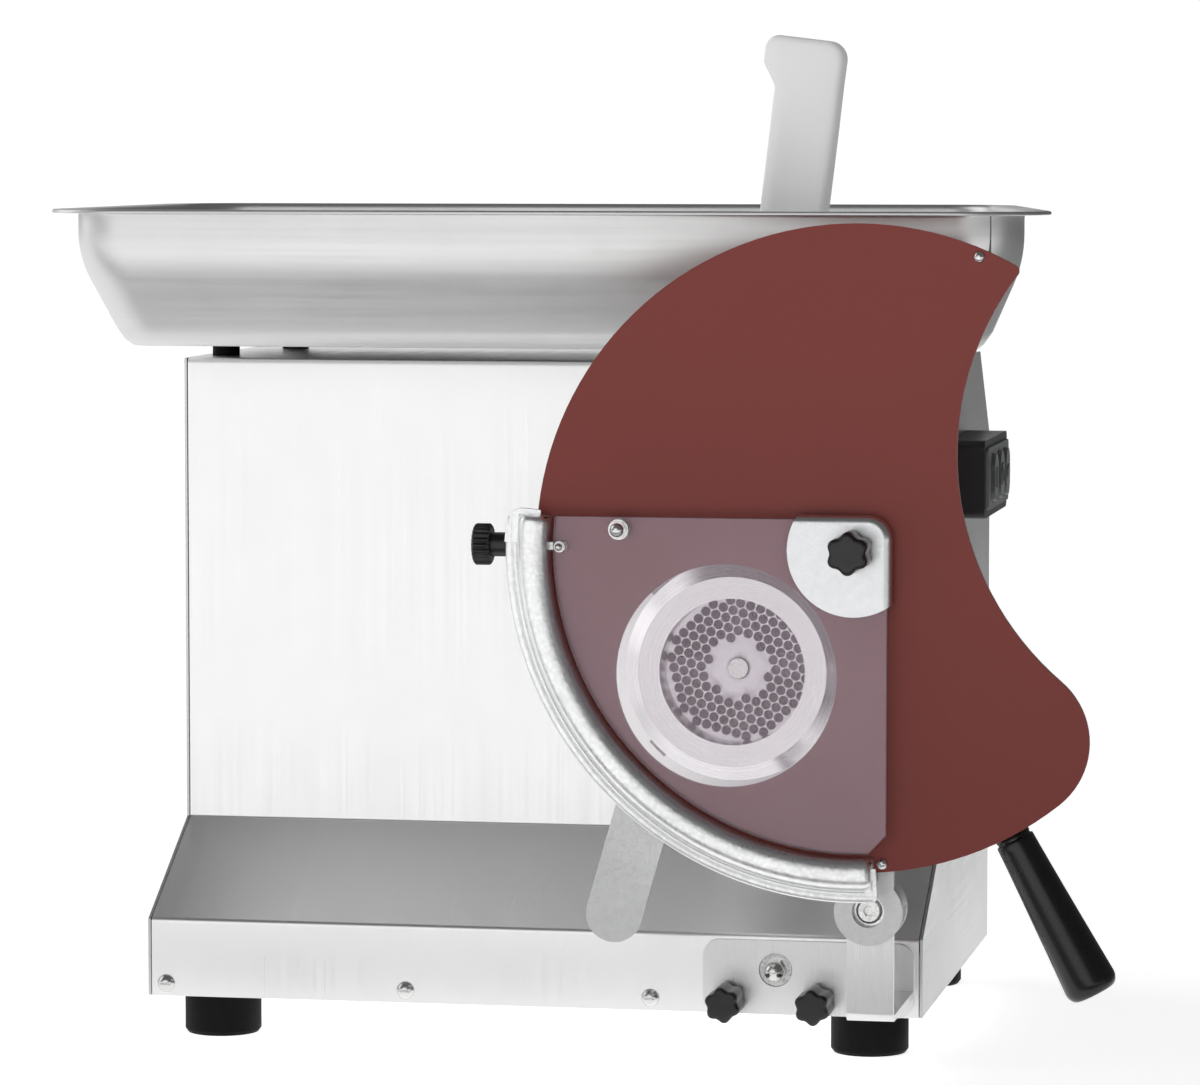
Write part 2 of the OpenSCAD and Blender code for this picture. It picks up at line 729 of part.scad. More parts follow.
module hinge_screw() placed() color(steel) at(hinge_x, hinge_z) {
    difference() {
        union() {
            ycyl(flange_y0 - 4.4, flange_y0 - 3, 5, 6.2);
            ycyl(flange_y0 - 3, flange_y0 - 2.2, 6.2);
            ycyl(flange_y0 - 2.2, flange_y0, ear_hole - run);
        }
        ycyl(flange_y0 - 5, flange_y0 - 0.8, 2.9, $fn = 6);
    }
    ycyl(flange_y0 - 1, rear_ear_y - 0.3, 4);
    ycyl(flange_y0 + flange_t, rear_ear_y - 0.3, 7);
    ycyl(rear_ear_y - 0.31, rear_ear_y + 3.5, ear_hole - run);
}

// ---------- guard (swings about the hinge screw) ----------
// region of the guard, measured from the disc pivot
module quarter2(x1, z1, r) intersection() {
    circle(r);
    translate([-300, -300]) square([300 + x1, 300 + z1]);
}

module guard_frame() placed() color([0.62, 0.63, 0.63]) difference() {
    union() {
        slab(back_y0, back_y1) {
            translate([piv_x, piv_z]) quarter2(arc_x, arc_z, wall_r);
            tongue2();
            ear2();
            translate([hinge_x - 12, hinge_z]) square([24, 30]);
        }
        slab(rear_ear_y, rear_ear_y + 3) {
            translate([hinge_x, hinge_z]) circle(ear_r);
        }
        at(hinge_x, hinge_z) slab(back_y1 - 1, rear_ear_y + 3) web2();
        at(hinge_x, hinge_z) ycyl(back_y1 - 1, flange_y0 - gap, 10);
    }
    at(hinge_x, hinge_z) ycyl(back_y0 - 1, rear_ear_y + 4, ear_hole);
    at(out_x, out_z) ycyl(back_y0 - 1, back_y1 + 1, disc_hole / 2 + 3.5);
    at(piv_x, piv_z) ycyl(back_y0 - 1, back_y1 + 1, post_r - 1 + run);
}
module web2() intersection() {
    ring2(ear_r, 13);
    polygon([[0, 0], [40, 6], [40, 40], [8, 40]]);
}
module ear2() translate([hinge_x, hinge_z]) circle(ear_r);
tongue_a = 16;
tongue_e = [58, 82.5];
module tongue2() translate(tongue_e) rotate(-tongue_a) {
    circle(13.6);
    translate([-13.6, 0]) square([27.2, 66]);
}

module arc_channel() placed() color([0.83, 0.84, 0.84]) at(piv_x, piv_z) difference() {
    union() {
        slab(crown_y, crown_y + 1.5) arc2(wall_r - 2, arc_in + 2, 2);
        slab(crown_y + 1.5, disc_y0 - gap - 0.4) arc2(arc_in + 2, arc_in, 0);
        slab(crown_y + 1.5, back_y0) arc2(wall_r, wall_r - 2, 0);
        slab(crown_y + 0.75, crown_y + 1.5) arc2(wall_r - 1, arc_in + 1, 1);
        slab(-104, -102) arc2(arc_out, wall_r - 1, 0);
        slab(win_y1, win_y1 + 1.4) tab2();
        slab(crown_y + 1.5, win_y0 + 6) endcap2();
        translate([0, lock_y, 0]) xcyl(-arc_out, -wall_r + 1, 6.5);
    }
    translate([0, lock_y, 0]) xcyl(-arc_out - 1, -wall_r + 4, 3 + run);
}
lock_y = (disc_y0 + disc_y1) / 2;
module arc2(r1, r0, d) intersection() {
    ring2(r1, r0);
    translate([-300, -300]) square([300 + arc_x - d, 300 + arc_z - d]);
}
module endcap2() {
    intersection() {
        arc2(wall_r, arc_in, 0);
        union() {
            translate([-200, arc_z - 1.5]) square([200, 3]);
            translate([arc_x - 1.5, -200]) square([3, 200]);
        }
    }
}
module tab2() for (p = ws_at) if (p[2] == 0) difference() {
    translate([p[0], p[1]]) {
        circle(3.4);
        translate([-(arc_in + p[0]) - 1, -2.6]) square([arc_in + p[0] + 1, 5.2]);
    }
    translate([p[0], p[1]]) circle(2 + run);
}

win_r = 142.6;
ws_at = [[63.3 - 174.5, 8.5, 5.0], [-139.4, 0, 0]];
module guard_window() placed() color([0.75, 0.70, 0.80, 0.5]) at(piv_x, piv_z) difference() {
    slab(win_y0, win_y1) difference() {
        quarter2(win_x, win_z, win_r);
        polygon([[win_x + 1, -132.3], [win_x - 10, -143.3], [win_x - 10, -150], [win_x + 1, -150]]);
    }
    ycyl(win_y0 - 1, win_y1 + 1, stud_r + 0.1);
    for (p = ws_at) at(p[0], p[1]) {
        ycyl(win_y0 - 1, win_y1 + 1, 2.05);
        if (p[2] > 0) ycyl(win_y1 - 2, win_y1 + 1, p[2] + 0.1);
    }
}

module window_screws() placed() color(steel) at(piv_x, piv_z)
    for (p = ws_at) at(p[0], p[1]) {
        y1 = p[2] > 0 ? win_y1 - 0.2 : win_y1 + 2.4;
        ycyl(win_y0 - 0.8, y1, 2);
        if (p[2] > 0) ycyl(win_y1 - 2, y1, p[2]);
        k = p[2] > 0 ? 1 : 0.55;
        ycyl(win_y0 - 0.8, win_y0, 4.8 * k);
        ycyl(win_y0 - 0.8 - 3.5 * k, win_y0 - 0.8, 4.2 * k, $fn = 6);
        intersection() {
            translate([0, win_y0 - 0.8 - 3.2 * k, 0]) sphere(3.4 * k);
            ycyl(win_y0 - 9, win_y0 - 0.7 - 3.5 * k, 5);
        }
    }

module pivot_post() placed() color(steel) at(piv_x, piv_z) {
    ycyl(win_y1, back_y0, post_r);
    ycyl(back_y0 - 0.01, back_y1, post_r - 1);
    ycyl(win_y0 - cap_t - 12, win_y1 + 0.01, stud_r);
}

module corner_bracket() placed() color(steel) at(piv_x, piv_z) difference() {
    union() {
        slab(win_y0 - cap_t, win_y0) cap2(1.8);
        slab(win_y0 - 0.01, win_y1) difference() {
            cap2(1.8);
            translate([-60, -60]) square([60 + win_x + 0.1, 60 + win_z + 0.1]);
        }
    }
    ycyl(win_y0 - 5, win_y1 + 1, stud_r + 0.1);
}
module cap2(g) intersection() {
    circle(31);
    rrect(-60, -60, win_x + g, win_z + g, 9);
}

module corner_knob() placed() color(dark) at(piv_x, piv_z)
    star_knob(win_y0 - cap_t - gap, knob_h, 10.2, stud_r + run, 14);

// ---------- portioning disc (turns about the pivot post) ----------
module disc2() {
    difference() {
        circle(disc_r, $fn = 128);
        translate([bite_x, bite_z]) circle(bite_r, $fn = 128);
        cut_corner(lobe_c, 60);
        cut_corner(tip_c, 12);
        translate([out_x - piv_x, out_z - piv_z]) circle(disc_hole / 2);
        circle(9 + run);
        for (a = rivet_as) rotate(a) translate([rivet_a, 0]) circle(1.5);
    }
    translate(lobe_c) circle(lobe_r);
    translate(tip_c) circle(tip_r);
}
// wedge between the two touching points of a corner circle
module cut_corner(c, far) {
    u = c / norm(c);
    v = ([bite_x, bite_z] - c) / norm([bite_x, bite_z] - c);
    w = (u + v) / norm(u + v);
    polygon([c, c + u * far, c + w * far * 3, c + v * far]);
}
module portioning_disc() placed() color(red) at(piv_x, piv_z)
    slab(disc_y0, disc_y1) disc2();

module disc_hub() placed() color(dark) at(piv_x, piv_z) difference() {
    union() {
        ycyl(disc_y0 - 3, back_y0 - gap, 9);
        ycyl(disc_y1, back_y0 - gap, 16);
        ycyl(disc_y0 - 2, disc_y0, 13);
    }
    ycyl(disc_y0 - 5, back_y1, post_r + run);
}

module stop_rivets() placed() color(steel) at(piv_x, piv_z)
    for (a = rivet_as) at(rivet_a * cos(a), rivet_a * sin(a)) {
        intersection() {
            translate([0, disc_y0 + 0.4, 0]) sphere(rivet_r);
            ycyl(disc_y0 - 4, disc_y0, 4);
        }
        ycyl(disc_y0 - 0.01, disc_y1 + 0.8, 1.5);
            ycyl(disc_y1, disc_y1 + 0.8, 2.4);
    }

module handle_arm() placed() color(dark) at(piv_x, piv_z) rotate([0, -handle_a, 0]) {
    translate([disc_r - 38, disc_y1, -8]) cube([26, handle_y - disc_y1, 16]);
    translate([0, handle_y, 0]) {
        xcyl(disc_r - 38, grip_r0 + 24, 5);
        xcyl(grip_r0 - 4, grip_r0, 7);
    }
}

module handle_grip() placed() color(dark) at(piv_x, piv_z) rotate([0, -handle_a, 0])
    translate([0, handle_y, 0]) difference() {
        union() {
            xcyl(grip_r0, grip_r0 + 3, 8, 9);
            xcyl(grip_r0 + 3, grip_r0 + grip_l - 4, 9, 12.9);
            xcyl(grip_r0 + grip_l - 4, grip_r0 + grip_l, 12.9, 9.5);
        }
        xcyl(grip_r0 - 1, grip_r0 + 24, 5 + run);
    }

module lock_knob() placed() at(piv_x, piv_z) translate([-arc_out, lock_y, 0]) {
    color(dark) difference() {
        union() {
            side(-17, -8.5) knurl2(10);
            xcyl(-8.5, -gap, 5.6);
        }
        xcyl(-14, 1, 3);
    }
    color(steel) xcyl(-14, arc_out - disc_r - gap, 3);
}
module knurl2(r) difference() {
    circle(r);
    for (a = [0:18:342]) rotate(a) translate([r + 0.3, 0]) circle(0.8);
}

// ---------- draw ----------
front_cover();
side_panel_left();
side_panel_right();
rear_panel();
base_plate();
rubber_feet();
cover_screws();
tray_bumpers();
feed_tray();
pusher();
gearbox_case();
shaft_bearings();
motor_frame();
motor_cradle();
motor_rotor();
layshaft();
output_shaft();
run_capacitor();
terminal_block();
cable_gland();
switch_box();
switch_plate();
button_start();
button_stop();
button_reverse();
grinder_barrel();
feed_screw();
cutting_knife();
hole_plate();
ring_nut();
clamp_claw();
clamp_knob();
guard_bracket();
bracket_stud();
bracket_knob_left();
bracket_knob_right();
hinge_screw();
guard_frame();
arc_channel();
guard_window();
window_screws();
pivot_post();
corner_bracket();
corner_knob();
portioning_disc();
disc_hub();
stop_rivets();
handle_arm();
handle_grip();
lock_knob();
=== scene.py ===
import bpy, bmesh, math
from math import sin, cos, pi, radians, sqrt
from mathutils import Matrix, Vector


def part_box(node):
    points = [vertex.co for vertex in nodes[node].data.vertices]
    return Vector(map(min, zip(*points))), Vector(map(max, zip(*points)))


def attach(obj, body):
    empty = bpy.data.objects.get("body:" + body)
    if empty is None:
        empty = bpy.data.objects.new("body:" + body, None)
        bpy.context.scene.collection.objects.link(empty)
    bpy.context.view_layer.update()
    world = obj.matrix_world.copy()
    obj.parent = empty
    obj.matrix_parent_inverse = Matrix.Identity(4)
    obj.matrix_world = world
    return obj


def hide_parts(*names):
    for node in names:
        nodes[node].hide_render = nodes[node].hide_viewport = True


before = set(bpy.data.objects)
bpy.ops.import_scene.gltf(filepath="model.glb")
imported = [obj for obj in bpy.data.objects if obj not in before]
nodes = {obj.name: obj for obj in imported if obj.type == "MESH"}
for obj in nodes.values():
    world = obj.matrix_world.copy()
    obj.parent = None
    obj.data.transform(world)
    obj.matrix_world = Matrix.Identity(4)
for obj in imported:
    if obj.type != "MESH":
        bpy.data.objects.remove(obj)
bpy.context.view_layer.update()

# ------------------------------------------------------------------ frame
# The machine's own coordinates in mm: X from the middle of the housing,
# Y from the base front, Z from the floor.
MID_X = (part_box("side_panel_left")[0][0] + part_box("side_panel_right")[1][0]) / 2
FRONT_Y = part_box("front_cover")[0][1]


def W(x, y, z):
    """A point of the machine in mm, as a point of the frame in metres."""
    return Vector((x / 1000 + MID_X, y / 1000 + FRONT_Y, z / 1000))


PIV = (174.5, 258.5)     # disc pivot, X and Z
OUT = (113.0, 198.0)     # outlet axis, X and Z
NECK_Y = 40.0            # axis of the feed neck
LOCK_Y = -93.0           # axis of the locking knob
TRAY = (-234.0, 240.0, -7.0, 254.0, 38.0)   # wall planes, and how much the right end runs in
WIN_Y0, WIN_Y1 = -103.0, -98.0   # front and back of the window
DISC_Y1 = -91.5          # back face of the disc

# ------------------------------------------------------------------ mesh help


def new_object(name, verts, faces, body, mat=None, angle=35):
    """Mesh object with smooth faces and sharp edges above an angle, riding on a body."""
    me = bpy.data.meshes.new(name)
    me.from_pydata([tuple(v) for v in verts], [], faces)
    me.validate()
    bm = bmesh.new()
    bm.from_mesh(me)
    bmesh.ops.remove_doubles(bm, verts=bm.verts, dist=1e-7)
    bmesh.ops.recalc_face_normals(bm, faces=bm.faces)
    bm.to_mesh(me)
    bm.free()
    ob = bpy.data.objects.new(name, me)
    bpy.context.scene.collection.objects.link(ob)
    me.polygons.foreach_set("use_smooth", [True] * len(me.polygons))
    me.set_sharp_from_angle(angle=radians(angle))
    if mat:
        me.materials.append(mat)
    if body:
        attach(ob, body)
    return ob


def loft(loops, caps=False):
    """Quads between closed loops of the same length, with end caps if asked; returns verts, faces."""
    n = len(loops[0])
    verts = [v for loop in loops for v in loop]
    faces = []
    for i in range(len(loops) - 1):
        for k in range(n):
            a, b = i * n + k, i * n + (k + 1) % n
            faces.append((a, b, b + n, a + n))
    if caps:
        faces.append(tuple(range(n))[::-1])
        faces.append(tuple(range((len(loops) - 1) * n, len(loops) * n)))
    return verts, faces


def arc_pts(cx, cy, r, a0, a1, n):
    """n + 1 points along an arc between two angles in degrees."""
    return [(cx + r * cos(radians(a0 + (a1 - a0) * i / n)),
             cy + r * sin(radians(a0 + (a1 - a0) * i / n))) for i in range(n + 1)]


def round_poly(pts, radii, n=6):
    """Closed polygon with each corner replaced by an arc of its radius."""
    out = []
    m = len(pts)
    for i in range(m):
        p0, p, p1 = Vector(pts[i - 1]), Vector(pts[i]), Vector(pts[(i + 1) % m])
        r = radii[i] if isinstance(radii, (list, tuple)) else radii
        u, v = (p0 - p), (p1 - p)
        lu, lv = u.length, v.length
        if r <= 0 or lu < 1e-9 or lv < 1e-9:
            out.append(tuple(p))
            continue
        u, v = u / lu, v / lv
        ang = u.angle(v)
        if pi - ang < 1e-3:
            out.append(tuple(p))
            continue
        t = min(r / math.tan(ang / 2), lu * 0.5, lv * 0.5)
        rr = t * math.tan(ang / 2)
        c = p + (u + v).normalized() * (rr / sin(ang / 2))
        a, b = p + u * t, p + v * t
        a0 = math.atan2(a.y - c.y, a.x - c.x)
        a1 = math.atan2(b.y - c.y, b.x - c.x)
        d = (a1 - a0 + pi) % (2 * pi) - pi
        for k in range(n + 1):
            q = a0 + d * k / n
            out.append((c.x + rr * cos(q), c.y + rr * sin(q)))
    return out


def mod_bevel(ob, width, segments=3, angle=32):
    """Round the sharp edges of a piece by a width in mm."""
    w = ob.modifiers.new("weld", "WELD")
    w.merge_threshold = 2e-6
    b = ob.modifiers.new("bevel", "BEVEL")
    b.width = width / 1000
    b.segments = segments
    b.limit_method = "ANGLE"
    b.angle_limit = radians(angle)
    b.harden_normals = True
    b.use_clamp_overlap = True
    b.miter_outer = "MITER_ARC"


# ------------------------------------------------------------------ materials


class Mat:
    """A small builder for procedural node materials."""

    def __init__(self, name, **inputs):
        self.m = bpy.data.materials.new(name)
        self.m.use_nodes = True
        self.t = self.m.node_tree
        self.bsdf = self.t.nodes["Principled BSDF"]
        for k, v in inputs.items():
            self.set(k.replace("_", " ").title().replace("Ior", "IOR"), v)

    def set(self, socket, v):
        s = self.bsdf.inputs[socket]
        if isinstance(v, (tuple, list)) and len(s.default_value) == 4 and len(v) == 3:
            v = (*v, 1)
        s.default_value = v

    def node(self, kind, **props):
        n = self.t.nodes.new(kind)
        for k, v in props.items():
            setattr(n, k, v)
        return n

    def link(self, a, b):
        self.t.links.new(a, b)

    def coords(self, scale=(1, 1, 1), rot=(0, 0, 0), origin=(0, 0, 0)):
        tc = self.node("ShaderNodeTexCoord")
        mp = self.node("ShaderNodeMapping")
        self.link(tc.outputs["Object"], mp.inputs["Vector"])
        mp.inputs["Scale"].default_value = scale
        mp.inputs["Rotation"].default_value = rot
        mp.inputs["Location"].default_value = origin
        return mp.outputs["Vector"]

    def noise(self, scale, detail=3, rough=0.55, vec=None, dist=0.0):
        n = self.node("ShaderNodeTexNoise")
        n.inputs["Scale"].default_value = scale
        n.inputs["Detail"].default_value = detail
        n.inputs["Roughness"].default_value = rough
        n.inputs["Distortion"].default_value = dist
        if vec is not None:
            self.link(vec, n.inputs["Vector"])
        return n.outputs["Fac"]

    def voronoi(self, scale, vec=None, feature="F1"):
        n = self.node("ShaderNodeTexVoronoi", feature=feature)
        n.inputs["Scale"].default_value = scale
        if vec is not None:
            self.link(vec, n.inputs["Vector"])
        return n.outputs["Distance"]

    def math(self, op, a, b=None, c=None):
        n = self.node("ShaderNodeMath", operation=op)
        for i, v in enumerate((a, b, c)):
            if v is None:
                continue
            if isinstance(v, (int, float)):
                n.inputs[i].default_value = v
            else:
                self.link(v, n.inputs[i])
        return n.outputs[0]

    def ramp(self, fac, lo, hi, a=0.0, b=1.0):
        """Map fac in a..b to lo..hi."""
        n = self.node("ShaderNodeMapRange")
        self.link(fac, n.inputs["Value"])
        n.inputs["From Min"].default_value = a
        n.inputs["From Max"].default_value = b
        n.inputs["To Min"].default_value = lo
        n.inputs["To Max"].default_value = hi
        return n.outputs["Result"]

    def mix(self, fac, ca, cb):
        n = self.node("ShaderNodeMix", data_type="RGBA")
        if isinstance(fac, (int, float)):
            n.inputs[0].default_value = fac
        else:
            self.link(fac, n.inputs[0])
        for i, c in ((6, ca), (7, cb)):
            if isinstance(c, (tuple, list)):
                n.inputs[i].default_value = (*c[:3], 1)
            else:
                self.link(c, n.inputs[i])
        return n.outputs[2]

    def bump(self, height, strength, distance):
        n = self.node("ShaderNodeBump")
        n.inputs["Strength"].default_value = strength
        n.inputs["Distance"].default_value = distance
        self.link(height, n.inputs["Height"])
        return n.outputs["Normal"]

    def color(self, c):
        self.link(c, self.bsdf.inputs["Base Color"])

    def rough(self, r):
        self.link(r, self.bsdf.inputs["Roughness"])

    def normal(self, n):
        self.link(n, self.bsdf.inputs["Normal"])


def brushed(name, color, rough, grain=(3, 3, 900), strength=0.08, smudge=0.06, streak=0.86):
    """Satin sheet metal: fine grain stretched along one direction, faint smudges."""
    m = Mat(name, metallic=1.0)
    g = m.noise(1.0, 4, 0.6, m.coords(scale=grain))
    cloud = m.noise(9, 4, 0.6, m.coords())
    fine = m.noise(55, 3, 0.6, m.coords())
    base = m.mix(m.ramp(cloud, 0, 1, 0.3, 0.7), tuple(c * 0.97 for c in color), color)
    base = m.mix(m.ramp(g, 0.0, 0.35, 0.3, 0.75), base, tuple(c * streak for c in color))
    m.color(base)
    r = m.math("ADD", m.ramp(g, rough - 0.05, rough + 0.05, 0.3, 0.7),
               m.math("ADD", m.ramp(cloud, -smudge / 2, smudge / 2, 0.3, 0.7),
                      m.ramp(fine, -0.015, 0.015, 0.3, 0.7)))
    m.rough(r)
    m.normal(m.bump(g, strength, 0.0002))
    return m.m


def speckled(name, color, rough, metallic=1.0, cell=420, strength=0.25, spots=0.2):
    """Tumbled or zinc-coated steel: small grains of slightly different shine."""
    m = Mat(name, metallic=metallic)
    v = m.voronoi(cell, m.coords())
    n = m.noise(260, 3, 0.7, m.coords())
    cloud = m.noise(14, 3, 0.6, m.coords())
    base = m.mix(m.ramp(n, 0, spots, 0.35, 0.7), color, tuple(c * 0.72 for c in color))
    base = m.mix(m.ramp(cloud, 0, 0.25, 0.3, 0.7), base, tuple(c * 0.85 for c in color))
    m.color(base)
    m.rough(m.math("ADD", m.ramp(v, rough - 0.08, rough + 0.1, 0.0, 0.8),
                   m.ramp(cloud, -0.04, 0.05, 0.3, 0.7)))
    m.normal(m.bump(m.math("ADD", v, n), strength, 0.00015))
    return m.m


def turned(name, color, rough, centre, strength=0.06, pitch=1500):
    """Lathe-turned or ground metal: rings about an axis along Y."""
    m = Mat(name, metallic=1.0)
    vec = m.coords()
    sep = m.node("ShaderNodeSeparateXYZ")
    m.link(vec, sep.inputs[0])
    dx = m.math("SUBTRACT", sep.outputs[0], centre[0])
    dz = m.math("SUBTRACT", sep.outputs[2], centre[2])
    r = m.math("SQRT", m.math("ADD", m.math("MULTIPLY", dx, dx), m.math("MULTIPLY", dz, dz)))
    comb = m.node("ShaderNodeCombineXYZ")
    m.link(m.math("MULTIPLY", r, pitch), comb.inputs[0])
    m.link(m.math("MULTIPLY", sep.outputs[1], pitch * 0.4), comb.inputs[1])
    g = m.noise(1.0, 3, 0.6, comb.outputs[0])
    cloud = m.noise(25, 3, 0.6, vec)
    m.color(m.mix(m.ramp(g, 0, 0.4, 0.3, 0.75), color, tuple(c * 0.8 for c in color)))
    m.rough(m.math("ADD", m.ramp(g, rough - 0.05, rough + 0.06, 0.3, 0.7),
                   m.ramp(cloud, -0.03, 0.05, 0.3, 0.7)))
    m.normal(m.bump(g, strength, 0.0002))
    return m.m


def moulded(name, color, rough, grain=900, strength=0.12, var=0.15, **kw):
    """Moulded plastic or rubber with a fine skin and faint handling marks."""
    m = Mat(name, **kw)
    n = m.noise(grain, 3, 0.6, m.coords())
    cloud = m.noise(22, 4, 0.65, m.coords())
    m.color(m.mix(m.ramp(cloud, 0, 1, 0.3, 0.7), tuple(c * (1 - var) for c in color), color))
    m.rough(m.math("ADD", m.ramp(n, rough - 0.04, rough + 0.05, 0.3, 0.7),
                   m.ramp(cloud, -0.05, 0.06, 0.3, 0.7)))
    m.normal(m.bump(n, strength, 0.0001))
    return m.m


def red_coat(name):
    """Satin powder coat with orange peel, lighter where the edge is worn."""
    m = Mat(name, coat_weight=0.02, coat_roughness=0.25, ior=1.45, specular_ior_level=0.28)
    peel = m.noise(420, 2, 0.5, m.coords())
    cloud = m.noise(6, 4, 0.6, m.coords())
    geo = m.node("ShaderNodeNewGeometry")
    sep = m.node("ShaderNodeSeparateXYZ")
    m.link(geo.outputs["Normal"], sep.inputs[0])
    flat = m.math("ABSOLUTE", sep.outputs[1])
    body = m.mix(m.ramp(cloud, 0, 1, 0.3, 0.7), (0.250, 0.050, 0.041), (0.268, 0.055, 0.046))
    m.color(m.mix(m.ramp(flat, 1.0, 0.0, 0.55, 0.95), body, (0.34, 0.17, 0.17)))
    m.rough(m.math("ADD", m.ramp(peel, 0.36, 0.44, 0.3, 0.7), m.ramp(cloud, -0.03, 0.04, 0.3, 0.7)))
    m.normal(m.bump(peel, 0.10, 0.0001))
    return m.m


def clear_sheet(name, color, alpha):
    """Clear polycarbonate: a thin lilac veil over what is behind, and a soft reflection."""
    m = Mat(name, ior=1.5)
    cloud = m.noise(11, 3, 0.6, m.coords())
    fine = m.noise(160, 3, 0.6, m.coords())
    m.color(m.mix(m.ramp(cloud, 0, 1, 0.3, 0.7), tuple(c * 0.95 for c in color), color))
    m.rough(m.ramp(fine, 0.05, 0.12, 0.3, 0.7))
    m.link(m.ramp(cloud, alpha - 0.012, alpha + 0.012, 0.3, 0.7), m.bsdf.inputs["Alpha"])
    shine = m.node("ShaderNodeBsdfGlossy")
    shine.inputs["Roughness"].default_value = 0.06
    rim = m.node("ShaderNodeFresnel")
    rim.inputs["IOR"].default_value = 1.45
    mix = m.node("ShaderNodeMixShader")
    m.link(rim.outputs[0], mix.inputs[0])
    m.link(m.bsdf.outputs[0], mix.inputs[1])
    m.link(shine.outputs[0], mix.inputs[2])
    m.link(mix.outputs[0], m.t.nodes["Material Output"].inputs["Surface"])
    return m.m


def milky_with_painted_glow(name):
    """Translucent white polyethylene with faint mould lines and scuffs, and a faint white glow that is
    painted light.
    """
    # the white emission is a painted glow that brightens the pusher though it is no lamp
    m = Mat(name, ior=1.5, subsurface_weight=0.5, subsurface_scale=0.012, emission_strength=0.14)
    m.set("Subsurface Radius", (1.0, 1.0, 1.0))
    m.set("Emission Color", (1.0, 1.0, 1.0))
    n = m.noise(300, 3, 0.6, m.coords())
    cloud = m.noise(16, 4, 0.6, m.coords())
    m.color(m.mix(m.ramp(cloud, 0, 1, 0.3, 0.7), (0.90, 0.91, 0.91), (0.95, 0.955, 0.95)))
    m.rough(m.math("ADD", m.ramp(n, 0.34, 0.44, 0.3, 0.7), m.ramp(cloud, -0.04, 0.05, 0.3, 0.7)))
    m.normal(m.bump(n, 0.08, 0.0001))
    return m.m


out_c = W(OUT[0], 0, OUT[1])
M = {
    "front": brushed("front_sheet", (0.93, 0.932, 0.93), 0.33, (900, 6, 6), 0.01, 0.04, 0.975),
    "side": brushed("side_sheet", (0.66, 0.662, 0.66), 0.34, (6, 6, 900), 0.02, 0.05, 0.96),
    "tray": brushed("tray_sheet", (0.75, 0.753, 0.75), 0.40, (6, 6, 500), 0.01, 0.06, 0.97),
    "bracket": brushed("bracket_sheet", (0.84, 0.84, 0.845), 0.30, (1600, 500, 14), 0.22, 0.04),
    "corner": brushed("corner_sheet", (0.76, 0.765, 0.775), 0.30, (300, 300, 300), 0.02, 0.04),
    "galv": speckled("zinc_plate", (0.76, 0.765, 0.765), 0.48, 1.0, 900, 0.15, 0.25),
    "channel": speckled("tumbled_channel", (0.97, 0.975, 0.98), 0.34, 1.0, 520, 0.45, 0.25),
    "bright": speckled("bright_steel", (0.74, 0.735, 0.73), 0.18, 1.0, 700, 0.10, 0.15),
    "ring": turned("turned_ring", (0.86, 0.855, 0.87), 0.24, out_c, 0.10),
    "plate": turned("ground_plate", (0.83, 0.80, 0.84), 0.33, out_c, 0.08, 900),
    "head": turned("polished_head", (0.74, 0.74, 0.75), 0.26, out_c, 0.06),
    "shaft": turned("shaft_steel", (0.55, 0.55, 0.56), 0.32, out_c, 0.06),
    # dark steel: on the feed screw and cutting knife it is painted shade of the mincer's inside; the tray's
    # welded seam also uses it as a dark joint
    "inner": speckled("painted_shade_and_seam_steel", (0.20, 0.19, 0.20), 0.42, 1.0, 700, 0.10, 0.10),
    "cast": speckled("cast_case", (0.45, 0.46, 0.47), 0.55, 0.9, 500, 0.4, 0.3),
    "motor": moulded("motor_paint", (0.035, 0.05, 0.065), 0.42, 500, 0.15),
    "red": red_coat("red_coat"),
    "window": clear_sheet("clear_window", (1.0, 0.72, 0.90), 0.125),
    "window_edge": clear_sheet("clear_window_edge", (0.25, 0.12, 0.15), 0.55),
    "pusher": milky_with_painted_glow("milky_plastic_painted_glow"),
    "rubber": moulded("foot_rubber", (0.004, 0.004, 0.0045), 0.62, 700, 0.2, 0.3, specular_ior_level=0.15),
    "knob": moulded("knob_plastic", (0.010, 0.010, 0.011), 0.33, 1200, 0.08, 0.3),
    "grip": moulded("grip_plastic", (0.008, 0.008, 0.009), 0.24, 1200, 0.04, 0.3),
    "box": moulded("box_plastic", (0.016, 0.016, 0.017), 0.42, 900, 0.15, 0.3),
    "grey": moulded("grey_plastic", (0.19, 0.195, 0.20), 0.40, 800, 0.12),
    "button": moulded("button_plastic", (0.10, 0.105, 0.11), 0.30, 900, 0.08),
    "light": moulded("light_plastic", (0.60, 0.60, 0.58), 0.45, 800, 0.10),
}

